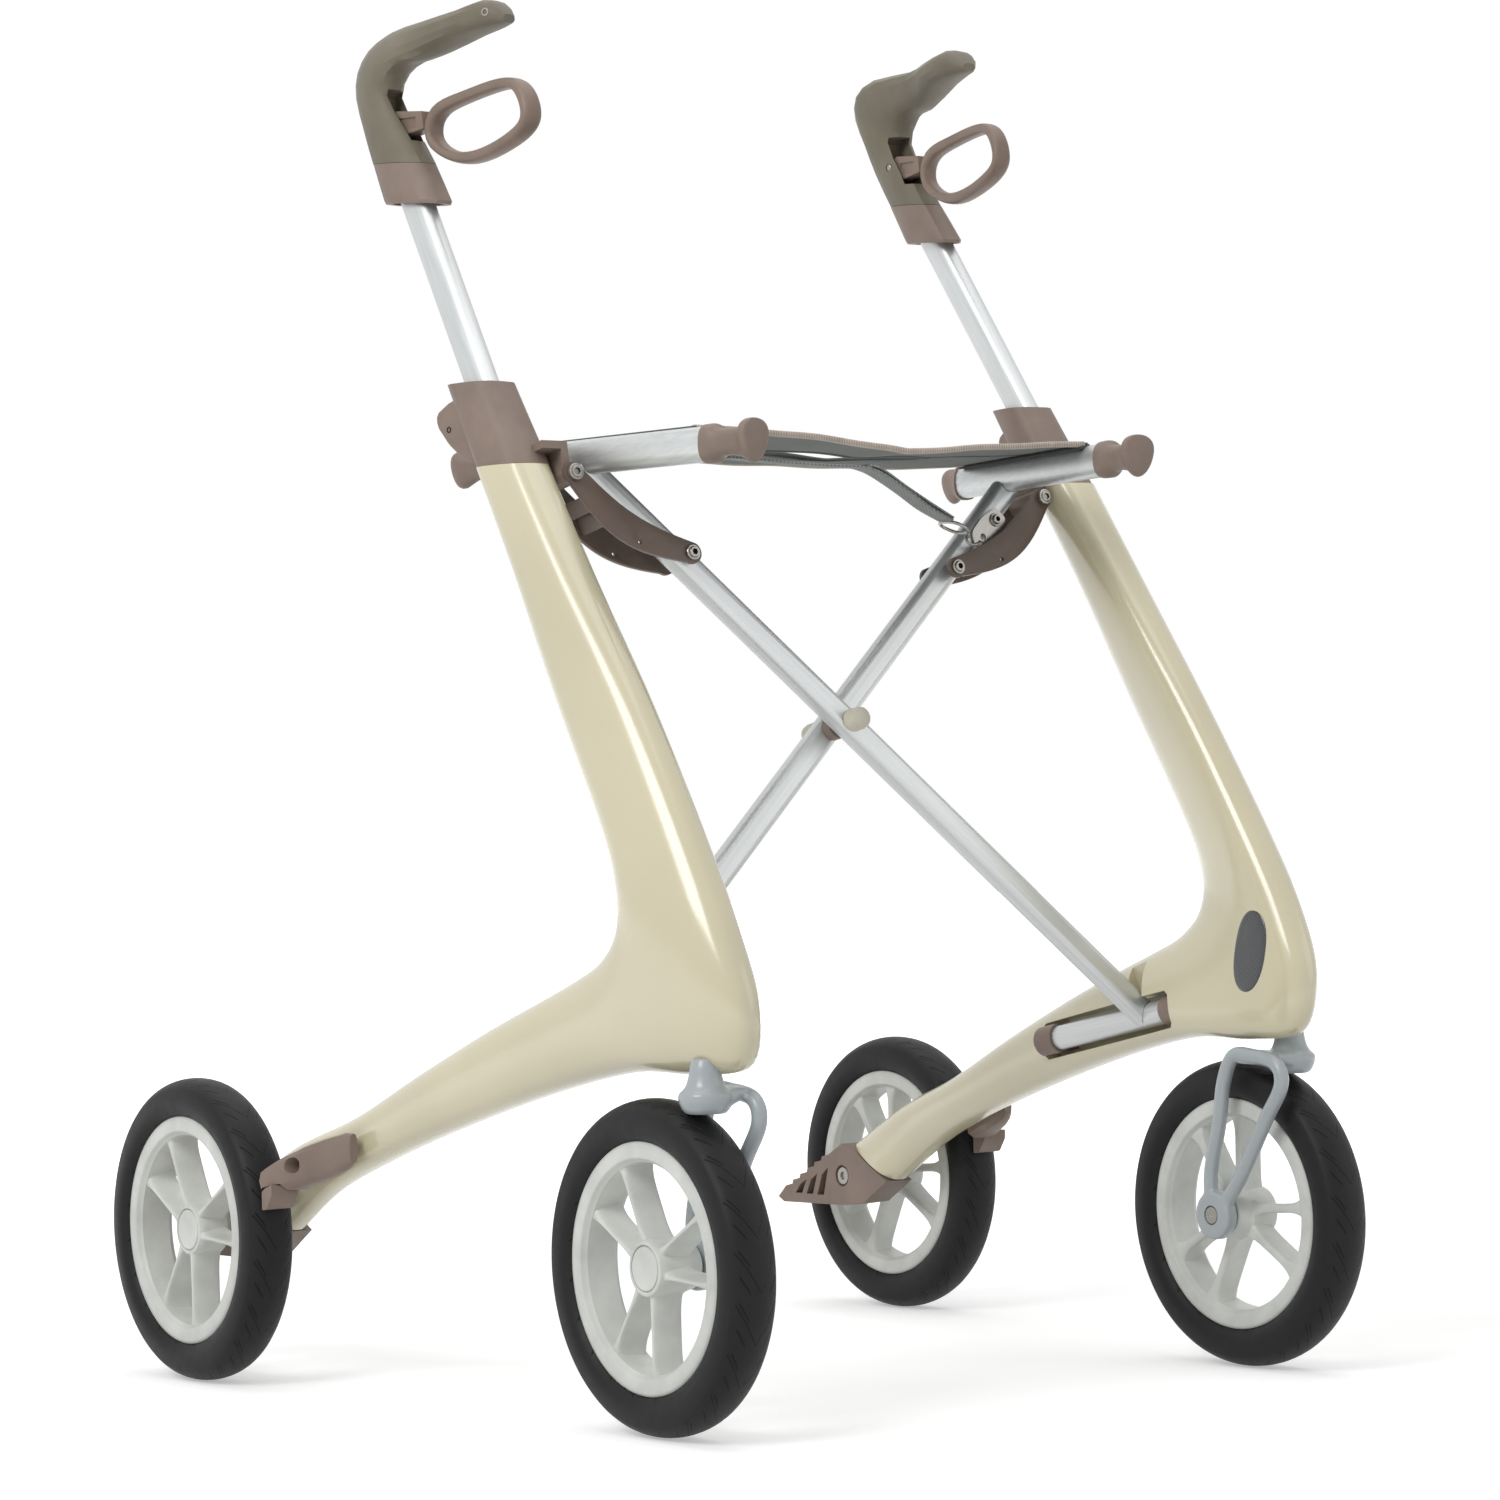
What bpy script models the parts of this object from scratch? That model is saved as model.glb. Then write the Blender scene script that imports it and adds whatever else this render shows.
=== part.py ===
"""Four-wheeled walker with composite side frames, a folding cross and a sling seat.

Metres, +Z up. The walker faces -Y (caster side), the user stands at +Y. The origin
is on the ground under the middle of the wheelbase. Everything on a side is drawn for
+X (the user's left) and mirrored for -X (the user's right).
"""

import math

import bmesh
import bpy
from mathutils import Matrix, Quaternion, Vector

GAP = 0.0003  # clearance between pieces that touch
RUNNING = 0.0006  # clearance of a piece that turns or slides

# Wheels
WHEEL_RADIUS = 0.100
TYRE_WIDTH = 0.035
RIM_RADIUS = 0.0755
RIM_WIDTH = 0.028
RIM_INNER = 0.0655
HUB_RADIUS = 0.0165
FRONT_WHEEL = Vector((0.2335, -0.2226, WHEEL_RADIUS))
REAR_WHEEL = Vector((0.2943, 0.2243, WHEEL_RADIUS))
AXLE_RADIUS = 0.004
WHEEL_STEPS = 24

# Caster fork
STEM = Vector((0.2313, -0.269, 0.0))
STEM_RADIUS = 0.0098
STEM_TOP = 0.250
FORK_X = 0.2063  # plane of the two prongs, inboard of the tyre
PRONG_RADIUS = 0.0050
BOSS_RADIUS = 0.0160
BOSS_WIDTH = 0.0100

# Side frame
LEG_TOP = 0.5865
LEG_YAW = 9.0  # degrees that the upper sections toe in
NOSE_YAW = 5.0

# Handle
HANDLE_AT_COLLAR = Vector((0.2205, -0.0274, 0.643))
HANDLE_AT_SLEEVE = Vector((0.2138, 0.0535, 0.765))
TUBE_CHORD = 0.0226
TUBE_THICKNESS = 0.0148
TUBE_GROOVE = 0.005
HANDLE_YAW = 10.0
TUBE_BELOW_COLLAR = 0.190  # hidden length of tube under the collar's top
BORE_BELOW_COLLAR = 0.325
COLLAR_TOP = 0.6415

# Folding cross
FOLD_TILT = 10.55  # degrees that every fold axis climbs to the front
CROSS_PIVOT = Vector((0.0, -0.0975, 0.4221))
PIVOT_HALF_SPAN = 0.2175  # lower pivots, out from the middle
PIVOT_DROP = 0.2010  # lower pivots, below the cross pivot
STRUT_WIDTH = 0.0176  # in the fold plane
STRUT_DEPTH = 0.0143  # along the fold axis
STRUT_OFFSET = 0.0110  # each strut's plane from the middle of the pivot
LOWER_TUBE_RADIUS = 0.0084
LOWER_TUBE_FRONT = 0.0340
LOWER_TUBE_REAR = 0.0785
BEARING_HEIGHT = 0.0205
BEARING_FRONT_LENGTH = 0.0110
BEARING_REAR_LENGTH = 0.0170
SPIGOT_RADIUS = 0.0050
FOLD_TRAVEL = 34.0  # degrees that a strut turns from open to folded

# Seat rails
RAIL_HEIGHT = 0.0222
RAIL_WIDTH = 0.0172
RAIL_WALL = 0.0018
RAIL_Z = 0.5925
RAIL_TOE = 9.8
RAIL_AT = Vector((0.1785, -0.0710, RAIL_Z))
RAIL_FRONT_Y = -0.1850
RAIL_REAR_Y = -0.0020

# Fold links
LINK_TOP = (0.1980, 0.1565)  # out from the middle, up from the cross pivot
LINK_FOOT = 0.1574  # along the strut from the cross pivot
LINK_PLATE = 0.0030
LINK_GAP = 0.0270  # between the plates
LINK_EAR = 0.0070
EAR_RADIUS = 0.0066
LINK_SAG = 0.0105
SCREW_RADIUS = 0.0034

# Seat
SEAT_SAG = 0.006
SEAT_THICKNESS = 0.0018
SEAT_INSET = 0.0035  # from a rail's middle to the edge of the cloth
STRAP_WIDTH = 0.020
STRAP_THICKNESS = 0.0018
RING_STEPS = 16

FRAME_CREAM = (0.68, 0.62, 0.44)
GRIP_OLIVE = (0.19, 0.17, 0.125)
TAUPE = (0.30, 0.225, 0.19)
DARK_TAUPE = (0.16, 0.125, 0.105)
ALUMINIUM = (0.58, 0.60, 0.60)
FORK_GREY = (0.42, 0.49, 0.52)
RIM_GREY = (0.64, 0.66, 0.64)
TYRE_BLACK = (0.025, 0.025, 0.026)
SEAT_GREY = (0.16, 0.17, 0.165)
STEEL = (0.55, 0.54, 0.51)

SIDES = {"right": -1, "left": 1}

for old in list(bpy.data.objects):
    bpy.data.objects.remove(old, do_unlink=True)
parts = bpy.data.collections.new("rollator")
cutters = bpy.data.collections.new("rollator_cutters")
for group in (parts, cutters):
    bpy.context.scene.collection.children.link(group)
cutters.hide_render = True


# Fold frame: u is across, v is up in the fold plane, t is along the fold axis to the front
TILT = math.radians(FOLD_TILT)
FOLD_AXIS = Vector((0, -math.cos(TILT), math.sin(TILT)))
FOLD_UP = Vector((0, math.sin(TILT), math.cos(TILT)))
ACROSS = Vector((1, 0, 0))


def fold_point(u, v, t=0.0):
    """World point from its place in the fold plane of the cross pivot."""
    return CROSS_PIVOT + u * ACROSS + v * FOLD_UP + t * FOLD_AXIS


def material(name, colour, roughness, metallic=0.0):
    made = bpy.data.materials.new(name)
    made.use_nodes = True
    shader = made.node_tree.nodes["Principled BSDF"]
    shader.inputs["Base Color"].default_value = (*colour, 1)
    shader.inputs["Roughness"].default_value = roughness
    shader.inputs["Metallic"].default_value = metallic
    made.diffuse_color = (*colour, 1)
    return made


FINISHES = {
    "frame": (FRAME_CREAM, 0.25, 0.0),
    "grip": (GRIP_OLIVE, 0.6, 0.0),
    "taupe": (TAUPE, 0.5, 0.0),
    "dark_taupe": (DARK_TAUPE, 0.5, 0.0),
    "aluminium": (ALUMINIUM, 0.35, 1.0),
    "fork": (FORK_GREY, 0.35, 0.0),
    "rim": (RIM_GREY, 0.45, 0.0),
    "tyre": (TYRE_BLACK, 0.7, 0.0),
    "fabric": (SEAT_GREY, 0.9, 0.0),
    "steel": (STEEL, 0.3, 1.0),
}

joints = {}


def joint(name, place, parent=None):
    """Empty on a joint's axis that carries the pieces of one moving body."""
    empty = bpy.data.objects.new(name, None)
    parts.objects.link(empty)
    empty["place"] = tuple(place)
    empty.location = place
    if parent:
        empty.parent = joints[parent]
        empty.location = Vector(place) - Vector(joints[parent]["place"])
    joints[name] = empty


def add(name, mesh, finish, body, place=None, turn=None):
    """Object of one piece, carried by a body; a mesh with no place is in world coordinates."""
    home = Vector(joints[body]["place"])
    if place is None:
        mesh.transform(Matrix.Translation(-home))
        place = home
    piece = bpy.data.objects.new(name, mesh)
    piece.parent = joints[body]
    piece.location = Vector(place) - home
    if turn is not None:
        piece.rotation_euler = turn.to_euler()
    skin = bpy.data.materials.get(name) or material(name, *FINISHES[finish])
    mesh.materials.clear()
    mesh.materials.append(skin)
    mesh.shade_smooth()
    mesh.set_sharp_from_angle(angle=math.radians(40))
    parts.objects.link(piece)
    return piece


def helper(name, mesh, place=(0, 0, 0), turn=None):
    """Hidden shape that cuts or joins."""
    shape = bpy.data.objects.new(name, mesh)
    shape.location = place
    if turn is not None:
        shape.rotation_euler = turn.to_euler()
    shape.hide_render = True
    shape.display_type = "WIRE"
    cutters.objects.link(shape)
    return shape


def combine(piece, other, operation="DIFFERENCE"):
    step = piece.modifiers.new(other.name, "BOOLEAN")
    step.operation = operation
    step.object = other
    return piece


def soften(piece, width, segments=2, angle=35):
    bevel = piece.modifiers.new("rounded edges", "BEVEL")
    bevel.width = width
    bevel.segments = segments
    bevel.limit_method = "ANGLE"
    bevel.angle_limit = math.radians(angle)
    return piece


def mesh_of(name, bm, sign=1):
    """Finished mesh, mirrored for the right side."""
    if sign < 0:
        bmesh.ops.scale(bm, vec=(-1, 1, 1), verts=bm.verts)
    bmesh.ops.recalc_face_normals(bm, faces=bm.faces)
    made = bpy.data.meshes.new(name)
    bm.to_mesh(made)
    bm.free()
    return made


def skin_rings(bm, rings, closed=False):
    """Quads between rings of equal counts; returns the first and last rings' vertices."""
    layers = [[bm.verts.new(point) for point in ring] for ring in rings]
    count = len(layers[0])
    following = layers[1:] + (layers[:1] if closed else [])
    for lower, upper in zip(layers, following):
        for i in range(count):
            j = (i + 1) % count
            bm.faces.new((lower[i], lower[j], upper[j], upper[i]))
    return layers[0], layers[-1]


def loft(name, rings, sign=1, closed=False):
    bm = bmesh.new()
    first, last = skin_rings(bm, rings, closed)
    if not closed:
        bm.faces.new(first[::-1])
        bm.faces.new(last)
    return mesh_of(name, bm, sign)


def hollow_loft(name, outer, inner, sign=1):
    """Tube wall between an outer and an inner skin, open at both ends."""
    return loft(name, outer + inner[::-1], sign, closed=True)


def power_oval(half_a, half_b, count=20, power=2.6):
    """Points of a rounded box section in its own plane."""
    outline = []
    for i in range(count):
        angle = 2 * math.pi * i / count
        c, s = math.cos(angle), math.sin(angle)
        outline.append((half_a * math.copysign(abs(c) ** (2 / power), c),
                        half_b * math.copysign(abs(s) ** (2 / power), s)))
    return outline


def ring(centre, first, second, outline):
    centre = Vector(centre)
    return [centre + first * a + second * b for a, b in outline]


def yawed(degrees):
    """Fore-aft and sideways directions of a section on the left whose front toes in."""
    angle = math.radians(degrees)
    back = Vector((math.sin(angle), math.cos(angle), 0))
    side = Vector((math.cos(angle), -math.sin(angle), 0))
    return back, side


def smooth_through(keys, steps):
    """Catmull-Rom values through rows of numbers, with a number of steps in each gap."""
    rows = []
    for i in range(len(keys) - 1):
        before = keys[max(i - 1, 0)]
        after = keys[min(i + 2, len(keys) - 1)]
        count = steps[i] if isinstance(steps, (list, tuple)) else steps
        for k in range(count):
            x = k / count
            rows.append([
                0.5 * (2 * b + (c - a) * x + (2 * a - 5 * b + 4 * c - d) * x * x
                       + (3 * b - a - 3 * c + d) * x ** 3)
                for a, b, c, d in zip(before, keys[i], keys[i + 1], after)
            ])
    rows.append(list(keys[-1]))
    return rows


def extrude_outline(name, outline, depth, place, sign=1):
    """Prism on an outline of 2-D points; place(a, b, c) gives the world point."""
    bm = bmesh.new()
    rings = [[place(a, b, c) for a, b in outline] for c in depth]
    first, last = skin_rings(bm, rings)
    bm.faces.new(first[::-1])
    bm.faces.new(last)
    return mesh_of(name, bm, sign)


def rounded(corners, radius, steps=3):
    """Polygon with its corners rounded; radius is one number or one for each corner."""
    outline = []
    for i, corner in enumerate(corners):
        here = Vector(corner)
        back = Vector(corners[i - 1]) - here
        on = Vector(corners[(i + 1) % len(corners)]) - here
        reach = radius[i] if isinstance(radius, (list, tuple)) else radius
        reach = min(reach, back.length * 0.49, on.length * 0.49)
        if reach == 0:
            outline.append(tuple(here))
            continue
        start = here + back.normalized() * reach
        end = here + on.normalized() * reach
        for k in range(steps + 1):
            x = k / steps
            outline.append(tuple(start * (1 - x) ** 2 + here * 2 * x * (1 - x) + end * x * x))
    return outline


def turned_mesh(name, profile):
    """Outline of a turned piece: (radius, height) rows from top to bottom on the outer side."""
    bm = bmesh.new()
    row = [bm.verts.new((radius, 0, height)) for radius, height in profile]
    for a, b in zip(row, row[1:]):
        bm.edges.new((a, b))
    if profile[0][0] > 0 and profile[-1][0] > 0:
        bm.edges.new((row[-1], row[0]))
    made = bpy.data.meshes.new(name)
    bm.to_mesh(made)
    bm.free()
    return made


def spin(piece, steps):
    screw = piece.modifiers.new("turned", "SCREW")
    screw.axis = "Z"
    screw.steps = steps
    screw.render_steps = steps
    screw.use_merge_vertices = True
    screw.merge_threshold = 0.00002
    screw.use_smooth_shade = True
    return piece


def facing(direction):
    """Rotation that stands a turned piece's axis on a direction."""
    return Vector((0, 0, 1)).rotation_difference(Vector(direction).normalized())


def turned(name, profile, finish, body, place, direction, steps=24, start=0.0):
    """Turned piece; start is the angle, in degrees, at which its first corner stands."""
    turn = facing(direction) @ Quaternion((0, 0, 1), math.radians(start))
    piece = add(name, turned_mesh(name, profile), finish, body, place, turn)
    return spin(piece, steps)


def turned_helper(name, profile, place, direction, steps=24):
    return spin(helper(name, turned_mesh(name, profile), place, facing(direction)), steps)


def rod_profile(radius, low, high, edge=0.0):
    """Plain cylinder about the axis, with an optional chamfer."""
    if edge:
        return [(0, high), (radius - edge, high), (radius, high - edge),
                (radius, low + edge), (radius - edge, low), (0, low)]
    return [(0, high), (radius, high), (radius, low), (0, low)]


def flip(point, sign):
    return Vector((point[0] * sign, point[1], point[2]))


def tube_mesh(name, points, radius, resolution=2, sign=1):
    """Round bar along points, as a welded mesh."""
    curve = bpy.data.curves.new(name, "CURVE")
    curve.dimensions = "3D"
    curve.bevel_depth = radius
    curve.bevel_resolution = resolution
    curve.use_fill_caps = True
    path = curve.splines.new("POLY")
    path.points.add(len(points) - 1)
    for knot, point in zip(path.points, points):
        knot.co = (*flip(point, sign), 1)
    holder = bpy.data.objects.new(name, curve)
    bpy.context.scene.collection.objects.link(holder)
    bpy.context.view_layer.update()
    graph = bpy.context.evaluated_depsgraph_get()
    made = bpy.data.meshes.new_from_object(holder.evaluated_get(graph))
    bpy.data.objects.remove(holder, do_unlink=True)
    bm = bmesh.new()
    bm.from_mesh(made)
    bmesh.ops.remove_doubles(bm, verts=bm.verts, dist=0.00001)
    bmesh.ops.recalc_face_normals(bm, faces=bm.faces)
    bm.to_mesh(made)
    bm.free()
    return made


# Places that several pieces share
HANDLE_DIR = (HANDLE_AT_SLEEVE - HANDLE_AT_COLLAR).normalized()


def handle_at(z):
    """Centre of the left handle tube at a height."""
    return HANDLE_AT_COLLAR + HANDLE_DIR * ((z - HANDLE_AT_COLLAR.z) / HANDLE_DIR.z)


def handle_section(grow=0.0, groove=True):
    """Flat oval of the handle tube with the shallow groove down its front."""
    outline = power_oval(TUBE_CHORD / 2 + grow, TUBE_THICKNESS / 2 + grow, 20, 2.8)
    if groove:
        depth = TUBE_GROOVE / 4
        front = TUBE_CHORD / 2 + grow
        half = TUBE_GROOVE / 2
        outline[10:11] = [(-front, half), (-front + depth, half * 0.6),
                          (-front + depth, -half * 0.6), (-front, -half)]
    return outline


def handle_ring(centre, outline):
    """Ring square to the handle tube, its long side fore and aft."""
    side = yawed(HANDLE_YAW)[1]
    side = (side - HANDLE_DIR * side.dot(HANDLE_DIR)).normalized()
    back = HANDLE_DIR.cross(side)
    back = back if back.y > 0 else -back
    return ring(centre, back, side, outline)


LOWER_PIVOT = {name: fold_point(PIVOT_HALF_SPAN * sign, -PIVOT_DROP) for name, sign in SIDES.items()}
STRUT_PLANE = {"right": -STRUT_OFFSET, "left": STRUT_OFFSET}  # named for the strut's lower end
LINK_PLANE = {"right": STRUT_OFFSET, "left": -STRUT_OFFSET}  # a link straddles the other side's strut
OTHER = {"right": "left", "left": "right"}


def rail_point(y, sign=1):
    """Centre of a seat rail."""
    x = RAIL_AT.x + (y - RAIL_AT.y) * math.tan(math.radians(RAIL_TOE))
    return Vector((x * sign, y, RAIL_Z))


joint("right_frame", (0, 0, 0))
joint("right_strut", LOWER_PIVOT["right"], "right_frame")
joint("left_strut", CROSS_PIVOT, "right_strut")
joint("left_frame", LOWER_PIVOT["left"], "left_strut")
for side, sign in SIDES.items():
    frame = side + "_frame"
    joint(side + "_link", fold_point(LINK_TOP[0] * sign, LINK_TOP[1], LINK_PLANE[side]), frame)
    joint(side + "_handle", flip(HANDLE_AT_COLLAR, sign), frame)
    joint(side + "_lever", flip((0.2085, 0.0860, 0.8225), sign), side + "_handle")
    joint(side + "_shoe", flip((0.2945, 0.1262, 0.1250), sign), frame)
    joint(side + "_rear_wheel", flip(REAR_WHEEL, sign), frame)
    joint(side + "_caster", flip(STEM, sign), frame)
    joint(side + "_front_wheel", flip(FRONT_WHEEL, sign), side + "_caster")


def wheel_window(name, middle, half_inner, half_outer, inner, outer, corner, length):
    """Prism that opens a rim between two spokes; angles in degrees from the wheel's middle."""
    arc = 3
    corners = [(inner, middle - half_inner)]
    corners += [(outer, middle - half_outer + 2 * half_outer * k / arc) for k in range(arc + 1)]
    corners += [(inner, middle + half_inner)]
    flat = [(r * math.cos(math.radians(a)), r * math.sin(math.radians(a))) for r, a in corners]
    reach = [corner * 0.6] + [corner] + [0] * (arc - 1) + [corner, corner * 0.6]
    outline = rounded(flat, reach, 2)
    return extrude_outline(name, outline, (-length, length), lambda a, b, c: Vector((a, b, c)))


SPOKE_CENTRES = (43.5, 163.5, 283.5)
SPOKE_HALF = 0.0028
SPOKE_FOOT, SPOKE_TIP = 27.0, 19.5  # degrees from the pair's centre at hub and at rim


def spoke_edge(degrees, radius, outward):
    """Angle of a spoke's flank at a radius."""
    return degrees + outward * math.degrees(math.asin(SPOKE_HALF / radius))


def build_wheel(side, end, centre):
    """Tyre and spoked rim; the wheel's own axis is +Z in its frame, outboard."""
    sign = SIDES[side]
    body = f"{side}_{end}_wheel"
    place = flip(centre, sign)
    outboard = Vector((sign, 0, 0))
    half = TYRE_WIDTH / 2
    rim_half = RIM_WIDTH / 2
    seat = RIM_RADIUS - 0.0028
    half_step = 180 / WHEEL_STEPS
    tread = WHEEL_RADIUS / math.cos(math.radians(half_step))  # so that a flat meets the floor
    tyre = [
        (tread, 0.0045), (tread, -0.0045),
        (WHEEL_RADIUS - 0.0022, -half * 0.68), (WHEEL_RADIUS - 0.0080, -half * 0.96),
        (WHEEL_RADIUS - 0.0160, -half), (RIM_RADIUS + 0.0012, -rim_half),
        (seat + GAP, -rim_half + 0.0039), (seat + GAP, rim_half - 0.0039),
        (RIM_RADIUS + 0.0012, rim_half), (WHEEL_RADIUS - 0.0160, half),
        (WHEEL_RADIUS - 0.0080, half * 0.96), (WHEEL_RADIUS - 0.0022, half * 0.68),
    ]
    turned(f"{side}_{end}_tyre", tyre, "tyre", body, place, outboard, WHEEL_STEPS, half_step)
    hub_out = 0.0120 if end == "front" else 0.0102
    hub_in = 0.0205 if end == "front" else 0.0150
    web = 0.0105
    bore = AXLE_RADIUS + RUNNING / 2
    rim = [
        (0, hub_out), (HUB_RADIUS, hub_out),
        (HUB_RADIUS + 0.002, web), (RIM_INNER - 0.004, web), (RIM_INNER + 0.001, rim_half),
        (RIM_RADIUS, rim_half), (seat, rim_half - 0.0036),
        (seat, -rim_half + 0.0036), (RIM_RADIUS, -rim_half),
        (RIM_INNER + 0.001, -rim_half), (RIM_INNER - 0.004, -web), (HUB_RADIUS, -web),
        (HUB_RADIUS - 0.002, -hub_in), (bore, -hub_in), (bore, hub_out - 0.0040),
        (0, hub_out - 0.0040),
    ]
    wheel = turned(f"{side}_{end}_rim", rim, "rim", body, place, outboard, WHEEL_STEPS, half_step)
    hub_edge = 0.0212
    outer = RIM_INNER - 0.0045
    windows = bmesh.new()
    for centre_angle in SPOKE_CENTRES:
        narrow = (spoke_edge(SPOKE_FOOT, hub_edge, -1), spoke_edge(SPOKE_TIP, outer, -1))
        wide = (60 - spoke_edge(SPOKE_FOOT, hub_edge, 1), 60 - spoke_edge(SPOKE_TIP, outer, 1))
        for middle, halves, corner in ((centre_angle, narrow, 0.004), (centre_angle + 60, wide, 0.016)):
            opening = wheel_window("window", middle, *halves, hub_edge, outer, corner, 0.03)
            windows.from_mesh(opening)
            bpy.data.meshes.remove(opening)
    shape = mesh_of(f"{side}_{end}_windows", windows)
    combine(wheel, helper(f"{side}_{end}_windows", shape, place, facing(outboard)))
    return wheel


def build_fork(side):
    """Single-sided caster fork: stem, collar and two prongs that meet in the axle's boss."""
    sign = SIDES[side]
    body = side + "_caster"
    foot = Vector((FORK_X, FRONT_WHEEL.y, FRONT_WHEEL.z))
    rear_top = Vector((FORK_X, -0.2375, 0.2000))
    front_top = Vector((FORK_X, -0.2860, 0.1950))
    prongs = smooth_through([
        foot + Vector((0, 0.004, 0.006)), (FORK_X, -0.2185, 0.128), (FORK_X, -0.2275, 0.160),
        (FORK_X, -0.2325, 0.186), rear_top + Vector((0, -0.005, 0.0035)),
        (FORK_X, -0.2600, 0.2042), front_top + Vector((0, 0.004, 0.0050)),
        (FORK_X, -0.2868, 0.1860), (FORK_X, -0.2720, 0.1640), (FORK_X, -0.2500, 0.130),
        foot + Vector((0, -0.007, 0.006)),
    ], 2)
    fork = add(side + "_caster_fork", tube_mesh("prongs", prongs, PRONG_RADIUS, 1, sign), "fork", body)
    boss = turned_helper(side + "_boss", rod_profile(BOSS_RADIUS, -BOSS_WIDTH / 2, BOSS_WIDTH / 2, 0.002),
                         flip(foot, sign), (sign, 0, 0), 20)
    web_rings = [
        ring((x, y, z), Vector((0, 1, 0)), Vector((0, 0, 1)), power_oval(a, b, 12, 3))
        for x, y, z, a, b in (
            (FORK_X - 0.002, -0.2610, 0.2030, 0.0205, 0.0042),
            (FORK_X + 0.006, -0.2625, 0.2030, 0.0185, 0.0052),
            (STEM.x - 0.010, STEM.y + 0.001, 0.2020, 0.0150, 0.0062),
            (STEM.x + 0.003, STEM.y, 0.2015, 0.0140, 0.0062),
        )
    ]
    web = helper(side + "_yoke", loft("yoke", web_rings, sign))
    stem_profile = [
        (0, STEM_TOP), (STEM_RADIUS - 0.001, STEM_TOP), (STEM_RADIUS, STEM_TOP - 0.001),
        (STEM_RADIUS, 0.2120), (0.0125, 0.2070), (0.0160, 0.2035), (0.0152, 0.1975),
        (0.0120, 0.1925), (0, 0.1925),
    ]
    stem = turned_helper(side + "_stem", stem_profile, flip(STEM, sign), (0, 0, 1), 16)
    wheel_room = turned_helper(side + "_wheel_room", rod_profile(WHEEL_RADIUS + 0.0025, -0.021, 0.021),
                               flip(FRONT_WHEEL, sign), (sign, 0, 0), 32)
    bore = turned_helper(side + "_fork_bore", rod_profile(AXLE_RADIUS + GAP, -0.02, 0.02),
                         flip(foot, sign), (sign, 0, 0), 12)
    head_room = turned_helper(side + "_fork_recess", rod_profile(0.0062, -0.02, -BOSS_WIDTH / 2 + 0.0026),
                              flip(foot, sign), (sign, 0, 0), 16)
    for shape in (boss, web, stem):
        combine(fork, shape, "UNION")
    for shape in (wheel_room, bore, head_room):
        combine(fork, shape)
    start = FORK_X - BOSS_WIDTH / 2 - FRONT_WHEEL.x + 0.0004
    end = 0.0120 - 0.0040 - GAP
    axle = [(0, end), (AXLE_RADIUS, end), (AXLE_RADIUS, start + 0.0016 + GAP),
            (0.0055, start + 0.0016), (0.0055, start), (0, start)]
    turned(side + "_front_axle", axle, "steel", body, flip(FRONT_WHEEL, sign), (sign, 0, 0), 16)


# Side frame: rows of rear or upper edge, front or lower edge (y, z), middle x, half thickness, yaw
FRAME_STATIONS = [
    (-0.0413, LEG_TOP, -0.0896, LEG_TOP, 0.2235, 0.0176, 10.5),
    (-0.0838, 0.5195, -0.1390, 0.5172, 0.2252, 0.0172, 10.5),
    (-0.1292, 0.4397, -0.2015, 0.4327, 0.2260, 0.0168, 10.0),
    (-0.1790, 0.3592, -0.2580, 0.3463, 0.2272, 0.0175, 9.5),
    (-0.1937, 0.3234, -0.2871, 0.2946, 0.2279, 0.0183, 8.5),
    (-0.1904, 0.2983, -0.3012, 0.2549, 0.2267, 0.0188, 7.5),
    (-0.1713, 0.2804, -0.2927, 0.2206, 0.2252, 0.0193, 7.0),
    (-0.1442, 0.2689, -0.2511, 0.2140, 0.2258, 0.0193, 6.5),
    (-0.1095, 0.2565, -0.1876, 0.2133, 0.2283, 0.0192, 6.5),
    (-0.0534, 0.2364, -0.1035, 0.1972, 0.2337, 0.0184, 6.5),
    (0.0183, 0.2078, -0.0026, 0.1703, 0.2405, 0.0174, 6.5),
    (0.0876, 0.1782, 0.0715, 0.1469, 0.2465, 0.0164, 6.5),
    (0.1561, 0.1555, 0.1231, 0.1262, 0.2530, 0.0150, 6.5),
    (0.2190, 0.1250, 0.1690, 0.0995, 0.2550, 0.0140, 6.5),
]


def frame_ring(row, count=16):
    """Section of the side frame between its two edges."""
    y0, z0, y1, z1, x, half, yaw = row
    toe = math.tan(math.radians(yaw))
    middle_y = (y0 + y1) / 2
    inner = Vector((x + (y0 - middle_y) * toe, y0, z0))
    outer = Vector((x + (y1 - middle_y) * toe, y1, z1))
    chord = (inner - outer) / 2
    side = Vector((1, -toe, 0)).normalized()
    return ring((inner + outer) / 2, chord.normalized(), side,
                power_oval(chord.length, half, count, 2.5))


def bearing_span(which):
    """Start and end of a bearing block along the fold axis."""
    if which == "front":
        return LOWER_TUBE_FRONT + RUNNING, LOWER_TUBE_FRONT + RUNNING + BEARING_FRONT_LENGTH
    return -LOWER_TUBE_REAR - RUNNING - BEARING_REAR_LENGTH, -LOWER_TUBE_REAR - RUNNING


BEARING_SEAT = 0.0150  # how far a bearing block reaches out from the pivot line


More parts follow.
